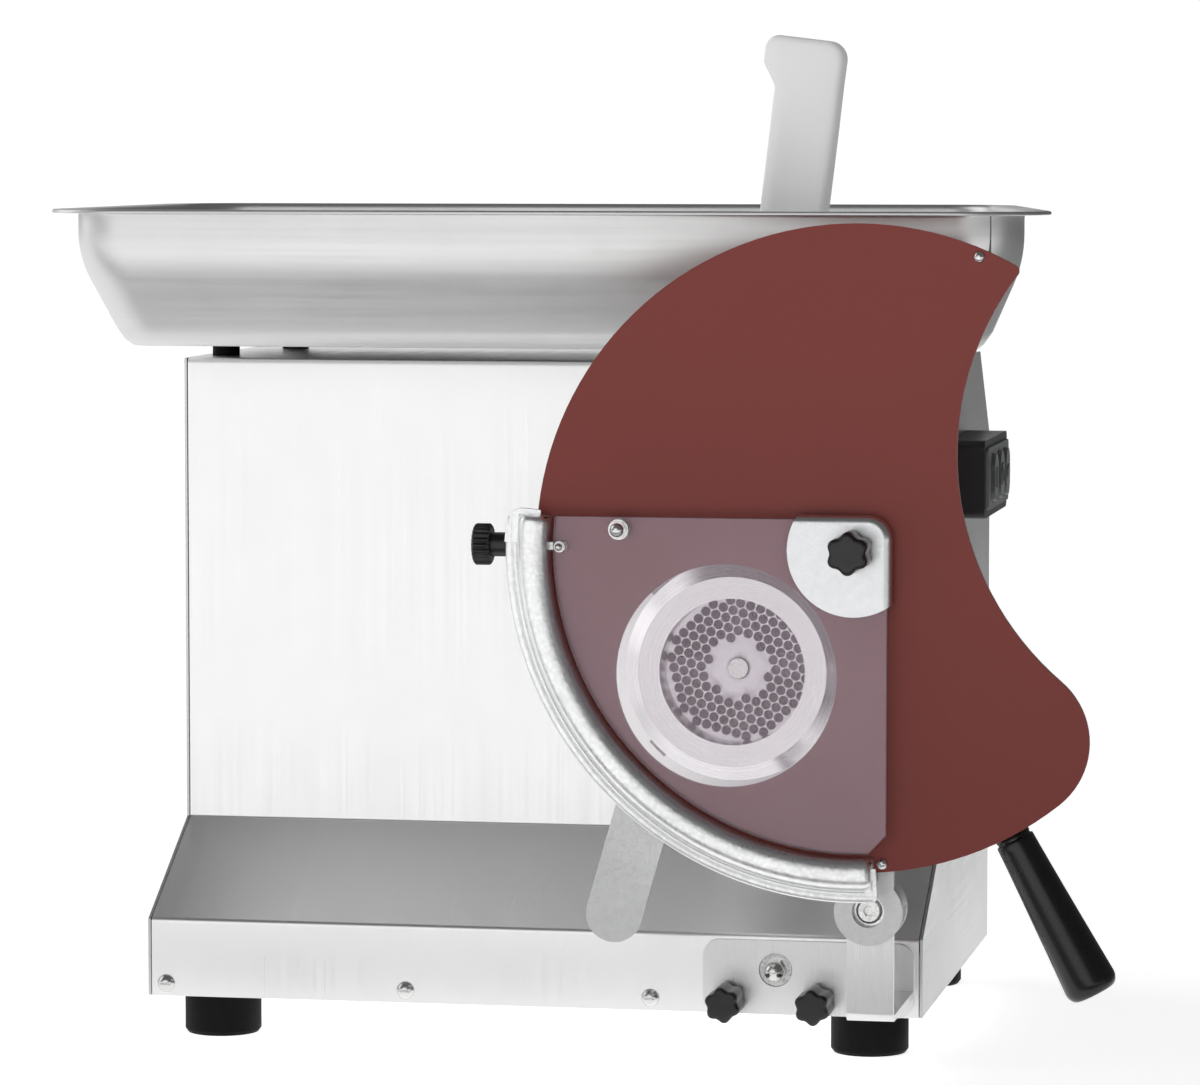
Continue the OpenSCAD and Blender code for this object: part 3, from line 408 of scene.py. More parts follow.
CARRY = {
    "side_panel_left": ("side", 0.45), "side_panel_right": ("side", 0.45),
    "rear_panel": ("side", 0.2), "base_plate": ("galv", 0.3),
    "rubber_feet": ("rubber", 0.6), "cover_screws": ("bright", 0.2),
    "tray_bumpers": ("rubber", 0.8), "gearbox_case": ("cast", 0.6),
    "shaft_bearings": ("shaft", 0.3), "motor_frame": ("motor", 0.4),
    "motor_cradle": ("galv", 0.3), "motor_rotor": ("shaft", 0.2),
    "layshaft": ("shaft", 0.12), "output_shaft": ("shaft", 0.12),
    "run_capacitor": ("light", 0.8), "terminal_block": ("light", 0.4),
    "cable_gland": ("box", 0.5), "switch_box": ("box", 0.8),
    "switch_plate": ("grey", 0.25), "button_start": ("button", 0.5),
    "button_stop": ("button", 0.5), "button_reverse": ("button", 0.5),
    # feed_screw and cutting_knife take the dark steel as painted shade
    "grinder_barrel": ("head", 1.0), "feed_screw": ("inner", 0.0),
    "cutting_knife": ("inner", 0.2), "hole_plate": ("plate", 0.15),
    "ring_nut": ("ring", 0.0), "clamp_claw": ("bright", 0.4),
    "clamp_knob": ("knob", 0.5), "guard_bracket": ("bracket", 0.35),
    "bracket_stud": ("bright", 0.15), "hinge_screw": ("bright", 0.2),
    "guard_frame": ("galv", 0.3), "guard_window": ("window", 0.0),
    "window_screws": ("bright", 0.15), "pivot_post": ("bright", 0.2),
    "portioning_disc": ("red", 0.35), "disc_hub": ("knob", 0.4),
    "stop_rivets": ("bright", 0.0), "handle_arm": ("knob", 0.6),
    "pusher": ("pusher", 2.0), "feed_tray": ("tray", 0.0),
    "front_cover": ("front", 0.0), "arc_channel": ("channel", 0.0),
    "corner_bracket": ("corner", 0.0), "corner_knob": ("knob", 0.3),
    "bracket_knob_left": ("knob", 0.3), "bracket_knob_right": ("knob", 0.3),
    "handle_grip": ("grip", 0.5), "lock_knob": ("knob", 0.2),
}
for name, (mat, bevel) in CARRY.items():
    ob = nodes[name]
    ob.data.materials.clear()
    ob.data.materials.append(M[mat])
    if bevel:
        mod_bevel(ob, bevel, 2 if bevel < 0.5 else 3)

# ------------------------------------------------------------------ pieces


def make_front_cover():
    """The bent sheet that is base front, apron, front, top and back slope."""
    t = 1.5
    outer = [(0, 22.3), (0, 61.1), (75.6, 103.2), (75.6, 338.5), (232, 338.5), (278, 292)]

    def inset(pts, d):
        res = []
        for i, p in enumerate(pts):
            p = Vector(p)
            ns = []
            if i > 0:
                e = (p - Vector(pts[i - 1])).normalized()
                ns.append(Vector((e.y, -e.x)))
            if i < len(pts) - 1:
                e = (Vector(pts[i + 1]) - p).normalized()
                ns.append(Vector((e.y, -e.x)))
            n = ns[0] if len(ns) == 1 else (ns[0] + ns[1]) / (1 + ns[0].dot(ns[1]))
            res.append(tuple(p + n * d))
        return res

    inner = inset(outer, t)
    r_out = [0, 3.2, 2.0, 3.0, 3.0, 0]
    r_in = [0, 1.7, 4.7, 1.5, 1.5, 0]
    ring = round_poly(outer + inner[::-1], r_out + r_in[::-1], 6)
    cols = 24
    x0, x1 = -193.1, 193.1
    loops = [[W(x0 + (x1 - x0) * i / cols, y, z) for y, z in ring] for i in range(cols + 1)]
    v, f = loft(loops, caps=True)
    ob = new_object("front_sheet_bent", v, f, "housing", M["front"], angle=24)
    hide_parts("front_cover")


def tray_loop(d, z, r):
    """Tray outline moved in by d: straight left side, right side running in to the back."""
    x0, x1, y0, y1, slant = TRAY
    x0, x1, y0, y1 = x0 + d + r, x1 - d - r, y0 + d + r, y1 - d - r
    lean = math.degrees(math.atan2(slant, y1 - y0))
    out = []
    for cx, cy, a, b in ((x1 - slant, y1, lean, 90), (x0, y1, 90, 180),
                         (x0, y0, 180, 270), (x1, y0, 270, 360 + lean)):
        out += [(px, py, z) for px, py in arc_pts(cx, cy, r, a, b, 14)]
    return out


def make_tray():
    """Deep-drawn tray: turned rim, drawn corners, soft bend into sloping walls, spout."""
    top, mid, floor_z = 415.0, 391.0, 348.0     # rim, bend and floor heights
    rim, t, run_in = 13.0, 1.2, 20.0            # rim width, sheet, run-in of the sloping walls
    corner_r = 30.0
    slope = run_in / (mid - floor_z)
    turn = math.atan(slope)
    bend = 58.0      # radius of the soft bend between upright and sloping wall
    foot = 8.0       # height at which the floor's round begins
    roll = 1.4       # radius of the turn from rim to wall
    spout_in, spout_out, spout_end = 25.7, 26.9, 325.2
    reach = bend * math.tan(turn / 2)
    loops = []

    def add(d, z, r):
        loops.append(tray_loop(d, z, max(r, 3.0)))

    def wall():
        """Offsets and heights from the upright wall through the bend to near the floor."""
        rows = [(0.0, mid + reach + 3)]
        for k in range(9):
            a = turn * k / 8
            rows.append((bend * (1 - cos(a)), mid + reach - bend * sin(a)))
        rows += [((mid - z) * slope, z) for z in (mid - 16, mid - 24, floor_z + foot)]
        return rows

    add(-rim + 0.5, top - 1.9, corner_r + rim - 0.5)
    add(-rim, top - 1.6, corner_r + rim)
    add(-rim, top - 0.7, corner_r + rim)
    add(-rim + 0.3, top - 0.2, corner_r + rim - 0.3)
    add(-rim + 0.9, top, corner_r + rim - 0.9)
    add(-roll, top, corner_r + roll)
    for a in (30, 60, 90):
        add(-roll + (roll + t) * sin(radians(a)), top - (roll + t) * (1 - cos(radians(a))), corner_r - t)
    for d, z in wall():
        add(t + d, z, corner_r - t - d * 0.35)
    base_d = t + (mid - floor_z - foot) * slope
    for a, drop in ((25, 4.9), (50, 2.2), (75, 0.5), (90, 0.0)):
        add(base_d + 7.6 * sin(radians(a)), floor_z + drop, corner_r - t - 8 - 4 * a / 90)
    inner = loops[-1]
    hx, hy = OUT[0], NECK_Y

    def ring_at(r, z):
        out = []
        for x, y, _ in inner:
            a = math.atan2(y - hy, x - hx)
            out.append((hx + r * cos(a), hy + r * sin(a), z))
        return out

    for r, z in ((spout_in + 2.2, floor_z), (spout_in + 0.6, floor_z - 0.7), (spout_in, floor_z - 2.2),
                 (spout_in, spout_end), (spout_out, spout_end), (spout_out, floor_z - t)):
        loops.append(ring_at(r, z))
    for a, drop in ((90, 0.0), (60, 0.7), (30, 3.0)):
        add(base_d - t * 0.6 + 7.6 * sin(radians(a)), floor_z - t + drop, corner_r - 9 - 4 * a / 90)
    for d, z in reversed(wall()):
        add(d, z, corner_r - d * 0.35)
    add(0.0, top - 3.2, corner_r)
    for a in (60, 30, 0):
        add(-roll + roll * sin(radians(a)), top - t - roll * (1 - cos(radians(a))), corner_r + 1)
    add(-rim + 1.4, top - t, corner_r + rim - 1.4)
    add(-rim + 1.1, top - 1.7, corner_r + rim - 1.1)
    loops.append(loops[0])
    v, f = loft([[W(*q) for q in loop] for loop in loops])
    ob = new_object("drawn_tray", v, f, "tray", M["tray"], angle=50)
    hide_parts("feed_tray")
    # welded seam down the front right corner
    a = radians(33.4)
    wide = 0.009     # half the seam's angle
    r_in, r_out = corner_r - 0.5, corner_r + 0.12
    cx, cy = TRAY[1] - corner_r, TRAY[2] + corner_r
    line = []
    for z in (top - 2.2, mid + 2.0):
        line.append([W(cx + r * sin(a + q), cy - r * cos(a + q), z)
                     for r, q in ((r_in, -wide), (r_out, -wide), (r_out, wide), (r_in, wide))])
    v, f = loft(line, caps=True)
    seam = new_object("tray_seam", v, f, "tray", M["inner"], angle=30)


def make_channel():
    """Quarter-circle hat channel with rounded shoulders and closed ends."""
    # cross-section as radius from the pivot and Y, from the outer flange over the crown
    prof = [(158, -86), (158, -100.6), (158.6, -101.6), (159.6, -102.0), (164.4, -102.0),
            (165.1, -102.4), (165.3, -103.0), (165.1, -103.6), (164.4, -104.0),
            (162.2, -104.0), (161.2, -103.3), (160.2, -103.3), (159.2, -104.1), (158.3, -105.6),
            (158.0, -107.4), (157.5, -109.4), (156.5, -110.9), (155.0, -111.8), (153.4, -112.0),
            (150.4, -111.7), (148.6, -111.3), (147.0, -110.5), (145.9, -109.3), (145.2, -107.6),
            (145.0, -105.5), (145.0, -95.3), (146.6, -95.3), (146.6, -105.5), (147.4, -108.0),
            (149.4, -110.0), (154.0, -110.3), (156.0, -108.5), (156.3, -106), (156.3, -86)]
    a0 = 180 - math.degrees(math.asin(15.0 / 155))
    a1 = 270 + math.degrees(math.asin(9.6 / 155))
    n = 132
    rc, hr = 4.2, 3.0    # how far the crown's ends round off across and in height
    deg = math.degrees(1 / 152)
    ends = [0.0, 0.25, 0.6, 1.1, 1.7, 2.4, 3.2, 4.2]
    stations = ([(a0 + deg * e, e) for e in ends]
                + [(a0 + deg * 4.8 + (a1 - a0 - deg * 9.6) * i / n, 9.0) for i in range(n + 1)]
                + [(a1 - deg * e, e) for e in reversed(ends)])
    loops = []
    for a, e in stations:
        side_in = rc - sqrt(max(rc * rc - (rc - min(e, rc)) ** 2, 0))
        drop = hr - sqrt(max(hr * hr - (hr - min(e, hr)) ** 2, 0))
        loop = []
        ca, sa = cos(radians(a)), sin(radians(a))
        for r, y in prof:
            if r > 158 and a < a0 + deg * 5:
                # the flange's first end follows the round corner of its lip
                q = 5 - (a - a0) / deg
                r = min(r, 157.2 + sqrt(64 - q * q) - (165.3 - r) * 0.3)
            if y < -104.5:
                y = min(y + drop * 0.85, -104.5)
                r = min(max(r, 145.0 + side_in * 0.8), 158.0 - side_in * 0.8)
            loop.append(W(PIV[0] + r * ca, y, PIV[1] + r * sa))
        loops.append(loop)
    skin = prof.index((145.0, -95.3)) + 1
    v, f = loft(loops)
    last = (len(loops) - 1) * len(prof)
    f.append(tuple(range(skin))[::-1])
    f.append(tuple(range(last, last + skin)))
    ob = new_object("hat_channel", v, f, None, M["channel"], angle=62)
    parts = [ob]

    def plate(name, pts, y0, y1, bevel=0.4):
        loops2 = [[W(PIV[0] + x, y, PIV[1] + z) for x, z in pts] for y in (y1, y0)]
        vv, ff = loft(loops2, caps=True)
        o = new_object(name, vv, ff, None, M["channel"], angle=40)
        mod_bevel(o, bevel, 2)
        return o

    # the outer flange runs on past each end of the crown
    for k, (a, more, r_in) in enumerate(((a0, 3.0, 149.0), (a1, 2.0, 149.0))):
        u = Vector((cos(radians(a)), sin(radians(a))))
        w = Vector((-u.y, u.x)) * (-1 if k == 0 else 1)
        back = -14.0 if k == 0 else -4.0
        loc = round_poly([(r_in, back), (165.2, back), (165.2, more), (r_in, more)],
                         [0.3, 0.3, 8.0 if k == 0 else 3.0, 0.8], 10)
        parts.append(plate("channel_lip_%d" % (k + 1), [tuple(u * p + w * q) for p, q in loc],
                           -103.95, -102.05, 0.5))
    # small tongue behind the window for its lower nut
    tongue = arc_pts(-139.4, 0, 2.7, -50, 50, 12) + [(-145.6, 2.0), (-145.6, -2.0)]
    parts.append(plate("window_tongue", tongue, -98.0, -96.6, 0.25))
    # threaded boss for the locking knob
    boss = []
    for x, r in ((-165.3, 5.6), (-164.9, 6.3), (-157.2, 6.5)):
        boss.append([W(PIV[0] + x, LOCK_Y + r * cos(radians(q)), PIV[1] + r * sin(radians(q)))
                     for q in range(0, 360, 9)])
    bore = [[W(PIV[0] + x, LOCK_Y + 3.1 * cos(radians(q)), PIV[1] + 3.1 * sin(radians(q)))
             for q in range(0, 360, 9)] for x in (-157.2, -165.3)]
    v, f = loft(boss + bore + [boss[0]])
    parts.append(new_object("lock_boss", v, f, None, M["channel"], angle=40))
    for p in parts:
        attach(p, "guard")
    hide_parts("arc_channel")


def lobed(name, centre, y_list, radius, body, mat, lobes=6, depth=0.10, n=144, axis="y", phase=0.0):
    """Knob with rounded lobes: y_list is (position along the axis, radius share, lobe depth share)."""
    loops = []
    for y, share, lob in y_list:
        loop = []
        for i in range(n):
            a = 2 * pi * i / n
            c = 0.5 - 0.5 * cos(lobes * (a - phase))
            wave = 1 - depth * lob * c ** 1.15
            r = radius * share * wave
            if axis == "y":
                loop.append(W(centre[0] + r * cos(a), y, centre[2] + r * sin(a)))
            else:
                loop.append(W(y, centre[1] + r * cos(a), centre[2] + r * sin(a)))
        loops.append(loop)
    v, f = loft(loops, caps=True)
    return new_object(name, v, f, body, mat, angle=38)


def star(name, x, z, y_back, h, r, body, node, phase):
    """Six-lobed knob on an axis along Y: neck at the back, domed front."""
    yf = y_back - h
    ys = [(y_back, 0.60, 0), (y_back - 0.3, 0.64, 0), (y_back - 2.4, 0.64, 0), (y_back - 3.0, 0.68, 0.2),
          (y_back - 3.2, 0.90, 0.9), (y_back - 3.9, 0.985, 1), (y_back - 5.0, 1.0, 1),
          (yf + 3.0, 1.0, 1), (yf + 1.6, 0.985, 1), (yf + 0.7, 0.94, 1), (yf + 0.2, 0.86, 1),
          (yf, 0.76, 1), (yf + 0.10, 0.45, 0.8), (yf + 0.25, 0.12, 0.3)]
    ob = lobed(name, (x, 0, z), ys, r, body, M["knob"], 6, 0.165, phase=phase)
    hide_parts(node)


def tube_y(name, x, z, y0, y1, r, body, mat):
    """Plain pin along Y with chamfered ends."""
    n = 40
    loops = []
    for y, k in ((y1, 0.86), (y1 - 0.4, 1), (y0 + 0.4, 1), (y0, 0.86)):
        loops.append([W(x + r * k * cos(2 * pi * i / n), y, z + r * k * sin(2 * pi * i / n))
                      for i in range(n)])
    v, f = loft(loops, caps=True)
    ob = new_object(name, v, f, body, mat, angle=50)


def corner_edge(px, pz, top, right, rc):
    """Distance from the bent edges (top and right, with a round corner), inside positive."""
    dx, dz = right - px, top - pz
    if dx < rc and dz < rc:
        return rc - sqrt((rc - dx) ** 2 + (rc - dz) ** 2)
    return min(dx, dz)


def make_corner():
    """Corner bracket: D-shaped plate whose top and right edges roll back over the window."""
    top, right, R = 16.4, 17.8, 31.0    # straight edges and round edge, from the pivot
    rc, br, t = 11.0, 4.2, 1.4          # corner, bend and sheet
    hole = 4.3
    y_f, y_b = -105.0, -98.0
    n = 240
    rim = []
    for i in range(n):
        a = 2 * pi * i / n
        lo, hi = hole, R
        for _ in range(40):
            mid = (lo + hi) / 2
            if corner_edge(mid * cos(a), mid * sin(a), top, right, rc) > 0:
                lo = mid
            else:
                hi = mid
        rim.append((a, lo))

    def y_at(px, pz):
        d = corner_edge(px, pz, top, right, rc)
        if d >= br:
            return y_f
        return y_f + br - sqrt(max(br * br - (br - max(d, 0)) ** 2, 0))

    loops = [[W(PIV[0] + hole * cos(a), y_f + t, PIV[1] + hole * sin(a)) for a, r in rim]]
    for share in [0, 0.35, 0.6] + [0.6 + 0.4 * sin(radians(q)) for q in range(6, 91, 6)]:
        loop = []
        for a, r in rim:
            q = hole + (r - hole) * share
            px, pz = q * cos(a), q * sin(a)
            loop.append(W(PIV[0] + px, y_at(px, pz), PIV[1] + pz))
        loops.append(loop)
    walls = []
    for a, r in rim:
        d = corner_edge(r * cos(a), r * sin(a), top, right, rc)
        walls.append(y_b if d < br * 0.9 else y_f + t)
    loops.append([W(PIV[0] + r * cos(a), w, PIV[1] + r * sin(a)) for (a, r), w in zip(rim, walls)])
    loops.append([W(PIV[0] + (r - t) * cos(a), w, PIV[1] + (r - t) * sin(a))
                  for (a, r), w in zip(rim, walls)])
    loops.append([W(PIV[0] + (r - t) * cos(a), min(w, y_f + br + t), PIV[1] + (r - t) * sin(a))
                  for (a, r), w in zip(rim, walls)])
    loops.append([W(PIV[0] + max(r - br - t, 5) * cos(a), y_f + t, PIV[1] + max(r - br - t, 5) * sin(a))
                  for a, r in rim])
    loops.append(loops[0])
    v, f = loft(loops)
    ob = new_object("corner_plate_bent", v, f, "guard", M["corner"], angle=55)
    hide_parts("corner_bracket")


def make_window():
    """Clear quarter disc with a cut lower corner and polished edges."""
    r, x1, z1 = 142.6, 16.0, 14.6
    a0 = 180 - math.degrees(math.asin(z1 / r))
    a1 = 270 + math.degrees(math.asin(7.2 / r))
    pts = [(x1, z1)] + arc_pts(0, 0, r, a0, a1, 96) + [(x1, -133.3)]
    # corner rounded at the top right
    pts = pts[1:] + arc_pts(x1 - 9, z1 - 9, 9, 0, 90, 10)
    loops = []
    for y, inset in ((WIN_Y0, 0.35), (WIN_Y0 + 0.35, 0.0), (WIN_Y1 - 0.35, 0.0), (WIN_Y1, 0.35)):
        loop = []
        for px, pz in pts:
            k = 1 - inset / 140
            loop.append(W(PIV[0] + x1 + (px - x1) * k - (0 if px < x1 - 1 else inset),
                          y, PIV[1] + z1 + (pz - z1) * k - (inset if pz > z1 - 1 else 0)))
        loops.append(loop)
    v, f = loft(loops, caps=True)
    ob = new_object("window_sheet", v, f, "guard", M["window"], angle=20)
    ob.data.materials.append(M["window_edge"])
    for poly in ob.data.polygons:
        if len(poly.vertices) < 10:
            poly.material_index = 1
            poly.use_smooth = False
    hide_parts("guard_window")


def make_grip():
    """Handle grip: a cone of revolution along the disc's radius, with a rounded end."""
    a = radians(-61.8)      # the handle's direction at rest
    d = Vector((cos(a), 0, sin(a)))
    side = Vector((0, 1, 0))
    up = d.cross(side)
    base = Vector((PIV[0], DISC_Y1 + 14, PIV[1]))
    g0 = 150.7              # start of the grip from the pivot
    # distance along the grip and radius
    prof = [(0, 5.2), (0, 7.4), (0.7, 8.2), (3.2, 8.6), (3.4, 8.2), (4.4, 8.2), (4.7, 9.0), (5.2, 9.3)]
    for i in range(1, 20):
        s = i / 19
        prof.append((5.2 + s * 74.8, 9.3 + 3.5 * s ** 1.15))
    for q in range(10, 91, 10):
        prof.append((80.0 + 6.0 * sin(radians(q)), 12.8 - 4.2 * (1 - cos(radians(q)))))
    prof += [(86.0, 6.0), (85.4, 5.2), (85.4, 1.0)]
    n = 96
    loops = []
    for s, r in prof:
        loops.append([W(*(base + d * (g0 + s) + (side * cos(2 * pi * i / n) + up * sin(2 * pi * i / n)) * r))
                      for i in range(n)])
    v, f = loft(loops, caps=True)
    ob = new_object("grip_moulded", v, f, "disc", M["grip"], angle=40)
    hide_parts("handle_grip")


def make_lock_knob():
    """Knurled locking knob on an axis along X, and its screw."""
    x = PIV[0] - 165.3
    ys = [(x - 17.0, 0.55, 0), (x - 17.0, 0.86, 0.6), (x - 16.6, 0.94, 1), (x - 16.0, 1, 1), (x - 9.6, 1, 1),
          (x - 9.0, 0.95, 1), (x - 8.5, 0.86, 0.6), (x - 8.5, 0.58, 0), (x - 1.2, 0.58, 0),
          (x - 0.6, 0.52, 0), (x - 0.4, 0.34, 0)]
    ob = lobed("knurled_knob", (0, LOCK_Y, PIV[1]), ys, 9.9, "lock", M["knob"], 22, 0.09, 264, "x")
    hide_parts("lock_knob")
    # its screw
    n = 36
    loops = []
    x0, x1 = x - 1.0, PIV[0] - 152.7
    steps = 60
    for i in range(steps + 1):
        s = i / steps
        r = 2.95 - 0.35 * (i % 2) if 2 < i < steps - 1 else 2.3
        loops.append([W(x0 + (x1 - x0) * s, LOCK_Y + r * cos(2 * pi * j / n),
                        PIV[1] + r * sin(2 * pi * j / n))
                      for j in range(n)])
    v, f = loft(loops, caps=True)
    sc = new_object("lock_screw", v, f, "lock", M["bright"], angle=60)


def make_pusher():
    """Pusher: moulded handle with a hooked head and a panel between two ribs, round foot."""
    lean = radians(7)
    org = Vector((OUT[0] - 2, NECK_Y, 302.0))
    ux = Vector((cos(lean), 0, -sin(lean)))
    uz = Vector((sin(lean), 0, cos(lean)))

    def L(u, w, v):
        return W(*(org + ux * u + Vector((0, w, 0)) + uz * v))

    out = [(-15.8, 8), (16, 8), (16, 150), (15.8, 176), (16, 198),
           (-22.9, 198), (-23, 184), (-16, 173.5), (-15.8, 140)]
    rad = [2, 2, 30, 20, 9, 8, 6, 8, 20]
    ring = round_poly(out, rad, 10)

    def shrink(pts, d):
        res = []
        m = len(pts)
        for i in range(m):
            p0, p, p1 = Vector(pts[i - 1]), Vector(pts[i]), Vector(pts[(i + 1) % m])
            e = (p1 - p0)
            if e.length < 1e-9:
                res.append(tuple(p))
                continue
            e.normalize()
            nrm = Vector((-e.y, e.x))
            res.append(tuple(p + nrm * d))
        return res

    loops = []
    for w, d in ((-11, 3.2), (-10.7, 1.6), (-9.8, 0.6), (-8.2, 0), (0, 0),
                 (8.2, 0), (9.8, 0.6), (10.7, 1.6), (11, 3.2)):
        loops.append([L(u, w, v) for u, v in shrink(ring, d)])
    # panels sunk between the ribs, front and back
    sunk = 1.0
    panel = round_poly([(-8.6, 42), (8.6, 42), (8.6, 160), (-8.6, 160)], 5, 5)
    v, f = loft(loops)
    base_n = len(ring)

    def cap(loop_index, w, sign):
        nonlocal v, f
        start = len(v)
        for depth, inset in ((0, -1.0), (sunk * sign, 1.2)):
            for u, q in shrink(panel, inset):
                v.append(L(u, w - depth, q))
        m = len(panel)
        for k in range(m):
            a, b = start + k, start + (k + 1) % m
            f.append((a, b, b + m, a + m))
        f.append(tuple(range(start + m, start + 2 * m)))
        return [loop_index * base_n + k for k in range(base_n)], [start + k for k in range(m)]

    caps = [cap(0, -11, -1), cap(len(loops) - 1, 11, 1)]
    me = bpy.data.meshes.new("pusher_tmp")
    me.from_pydata([tuple(p) for p in v], [], f)
    bm = bmesh.new()
    bm.from_mesh(me)
    bm.verts.ensure_lookup_table()
    for outer, inner in caps:
        edges = []
        for idx in (outer, inner):
            for k in range(len(idx)):
                a, b = bm.verts[idx[k]], bm.verts[idx[(k + 1) % len(idx)]]
                e = bm.edges.get((a, b)) or bm.edges.new((a, b))
                edges.append(e)
        bmesh.ops.triangle_fill(bm, edges=edges, use_beauty=True, use_dissolve=False)
    bmesh.ops.remove_doubles(bm, verts=bm.verts, dist=1e-7)
    bmesh.ops.recalc_face_normals(bm, faces=bm.faces)
    bm.to_mesh(me)
    bm.free()
    ob = bpy.data.objects.new("pusher_handle", me)
    bpy.context.scene.collection.objects.link(ob)
    me.polygons.foreach_set("use_smooth", [True] * len(me.polygons))
    me.set_sharp_from_angle(angle=radians(35))
    me.materials.append(M["pusher"])
    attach(ob, "pusher")
    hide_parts("pusher")
    n = 72
    prof = [(-12, 0.5), (-12, 18.5), (-11.5, 20), (-10, 20.9), (9, 20.9), (11, 20.2), (12, 18.6), (12, 10)]
    foot = [[L(r * cos(2 * pi * i / n), r * sin(2 * pi * i / n), s) for i in range(n)] for s, r in prof]
    v2, f2 = loft(foot, caps=True)
    ob2 = new_object("pusher_foot", v2, f2, "pusher", M["pusher"], angle=40)


make_front_cover()
make_tray()
make_channel()
star("star_corner", PIV[0], PIV[1], -105.4, 20.0, 10.2, "pivot_knob", "corner_knob", radians(90))
for side, x in (("left", 100.2), ("right", 144.2)):
    star("star_bracket_" + side, x, 30.0, -3.4, 24.0, 8.9, side + "_knob",
         "bracket_knob_" + side, radians(100 if side == "left" else 95))
    tube_y("knob_stud_" + side, x, 30.0, -3.6, 9.0, 3.0, side + "_knob", M["bright"])
make_corner()
make_window()
make_grip()
make_lock_knob()
make_pusher()
for name in ("hole_plate", "stop_rivets", "feed_screw", "ring_nut"):
    me = nodes[name].data
    me.polygons.foreach_set("use_smooth", [True] * len(me.polygons))
nodes["ring_nut"].data.set_sharp_from_angle(angle=radians(25))
# the screw's pin keeps bright steel in the middle of the plate; the rest of the screw stays dark steel as
# painted shade
screw = nodes["feed_screw"]
screw.data.materials.append(M["bright"])
pin_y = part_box("feed_screw")[0][1] + 0.0015
for poly in screw.data.polygons:
    if (screw.matrix_world @ poly.center).y < pin_y:
        poly.material_index = 1

# ------------------------------------------------------------------ stage, light, camera


def make_stage():
    """Round pale floor."""
    me = bpy.data.meshes.new("floor")
    bm = bmesh.new()
    n, r0, r1 = 96, 0.02, 14.0
    rings = [[bm.verts.new((r * cos(2 * pi * i / n), r * sin(2 * pi * i / n), 0)) for i in range(n)]
             for r in (r0, 0.6, 2.0, r1)]
    for a, b in zip(rings, rings[1:]):
        for i in range(n):
            bm.faces.new((a[i], a[(i + 1) % n], b[(i + 1) % n], b[i]))
    bm.faces.new(rings[0])
    bmesh.ops.recalc_face_normals(bm, faces=bm.faces)
    bm.to_mesh(me)
    bm.free()
    ob = bpy.data.objects.new("floor", me)
    bpy.context.scene.collection.objects.link(ob)
    m = Mat("floor_pale", roughness=0.9)
    vec = m.coords()
    m.color(m.mix(m.ramp(m.noise(3, 3, 0.5, vec), 0, 1, 0.3, 0.7), (0.86, 0.86, 0.86), (0.88, 0.88, 0.88)))
    m.set("Specular IOR Level", 0.1)
    # glowing table, dark just in front of the machine where the camera does not look
    sep = m.node("ShaderNodeSeparateXYZ")
    m.link(vec, sep.inputs[0])
    near = m.ramp(sep.outputs[1], 0, 0.78, -0.27, -0.235)
    far = m.ramp(sep.outputs[1], 1.0, 0, -0.62, -0.50)
    far = m.math("MULTIPLY", far, m.ramp(sep.outputs[1], 0.62, 1.0, -5.0, -1.8))
    beside = m.ramp(sep.outputs[0], 1, 0, 0.36, 0.55)
    glow = m.math("MAXIMUM", m.math("MULTIPLY", near, beside), far)
    m.set("Emission Color", (1.0, 1.0, 1.0))
    m.link(glow, m.bsdf.inputs["Emission Strength"])
    me.materials.append(m.m)


make_stage()

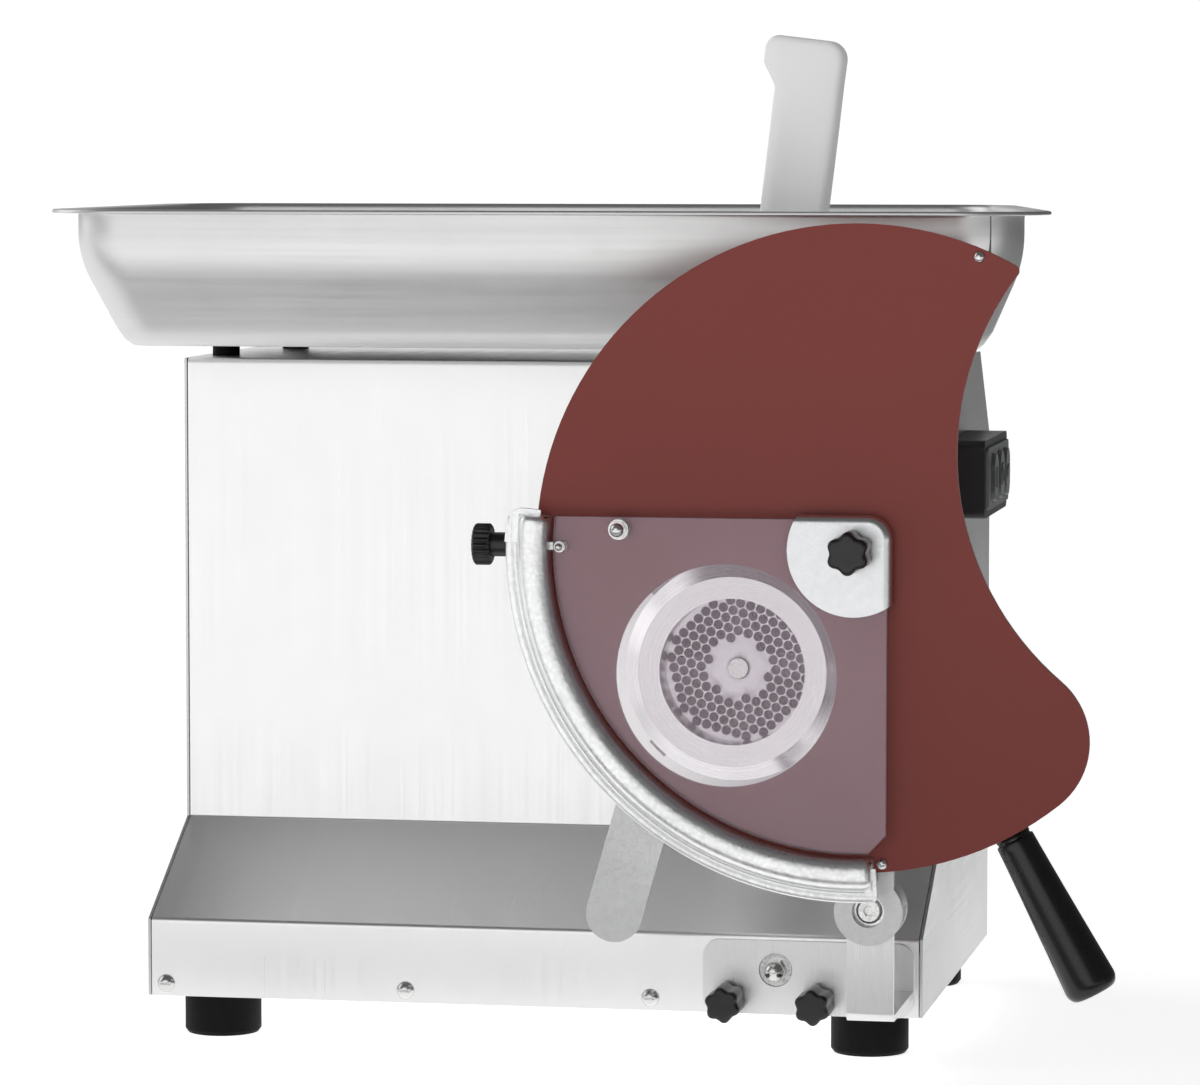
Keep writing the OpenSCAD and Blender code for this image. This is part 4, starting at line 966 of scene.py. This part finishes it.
# studio tent: white in front and behind the machine, dark at the sides and overhead
# each light is its direction, outer and inner half angle in degrees, and strength
FRONT_LIGHT = (-0.22, -1.0, -0.04), 42, 22, 0.97
BACK_LIGHT = (-0.32, 0.95, 0.0), 25, 13, 0.92
SIDE_LIGHT = (-0.9, 0.2, 0.45), 36, 16, 1.25
AMBIENT = 0.12
world = bpy.data.worlds.new("studio")
bpy.context.scene.world = world
world.use_nodes = True
wt = world.node_tree
bg = wt.nodes["Background"]
tc = wt.nodes.new("ShaderNodeTexCoord")


def lobe(axis, outer, inner, strength):
    """Round patch of light on the tent: full inside `inner` degrees, none outside `outer`."""
    d = wt.nodes.new("ShaderNodeVectorMath")
    d.operation = "DOT_PRODUCT"
    wt.links.new(tc.outputs["Generated"], d.inputs[0])
    d.inputs[1].default_value = Vector(axis).normalized()
    r = wt.nodes.new("ShaderNodeMapRange")
    r.interpolation_type = "SMOOTHSTEP"
    wt.links.new(d.outputs["Value"], r.inputs["Value"])
    r.inputs["From Min"].default_value = cos(radians(outer))
    r.inputs["From Max"].default_value = cos(radians(inner))
    r.inputs["To Max"].default_value = strength
    return r.outputs["Result"]


def total(a, b):
    n = wt.nodes.new("ShaderNodeMath")
    n.operation = "ADD"
    wt.links.new(a, n.inputs[0])
    if isinstance(b, float):
        n.inputs[1].default_value = b
    else:
        wt.links.new(b, n.inputs[1])
    return n.outputs[0]


light = lobe(*FRONT_LIGHT)
light = total(light, lobe(*BACK_LIGHT))
light = total(light, lobe(*SIDE_LIGHT))
light = total(light, AMBIENT)
wt.links.new(light, bg.inputs[1])
bg.inputs[0].default_value = (1, 1, 1, 1)

CAM_AT = (514.3, -2546.4, 450.1)
CAM_YAW, CAM_PITCH = 0.186, 0.076
CAM_LENS = 159.228
cam = bpy.data.cameras.new("camera")
cam.sensor_fit = "HORIZONTAL"
cam.sensor_width = 36.0
cam.lens = CAM_LENS
cam.clip_start, cam.clip_end = 0.05, 60
cob = bpy.data.objects.new("camera", cam)
bpy.context.scene.collection.objects.link(cob)
yaw, pitch = CAM_YAW, CAM_PITCH
fwd = Vector((-sin(yaw) * cos(pitch), cos(yaw) * cos(pitch), -sin(pitch)))
right = Vector((cos(yaw), sin(yaw), 0))
up = right.cross(fwd)
rot = Matrix((right, up, -fwd)).transposed()
cob.matrix_world = Matrix.Translation(W(*CAM_AT)) @ rot.to_4x4()
bpy.context.scene.camera = cob
bpy.context.scene.view_settings.view_transform = "Standard"
bpy.context.scene.view_settings.look = "None"
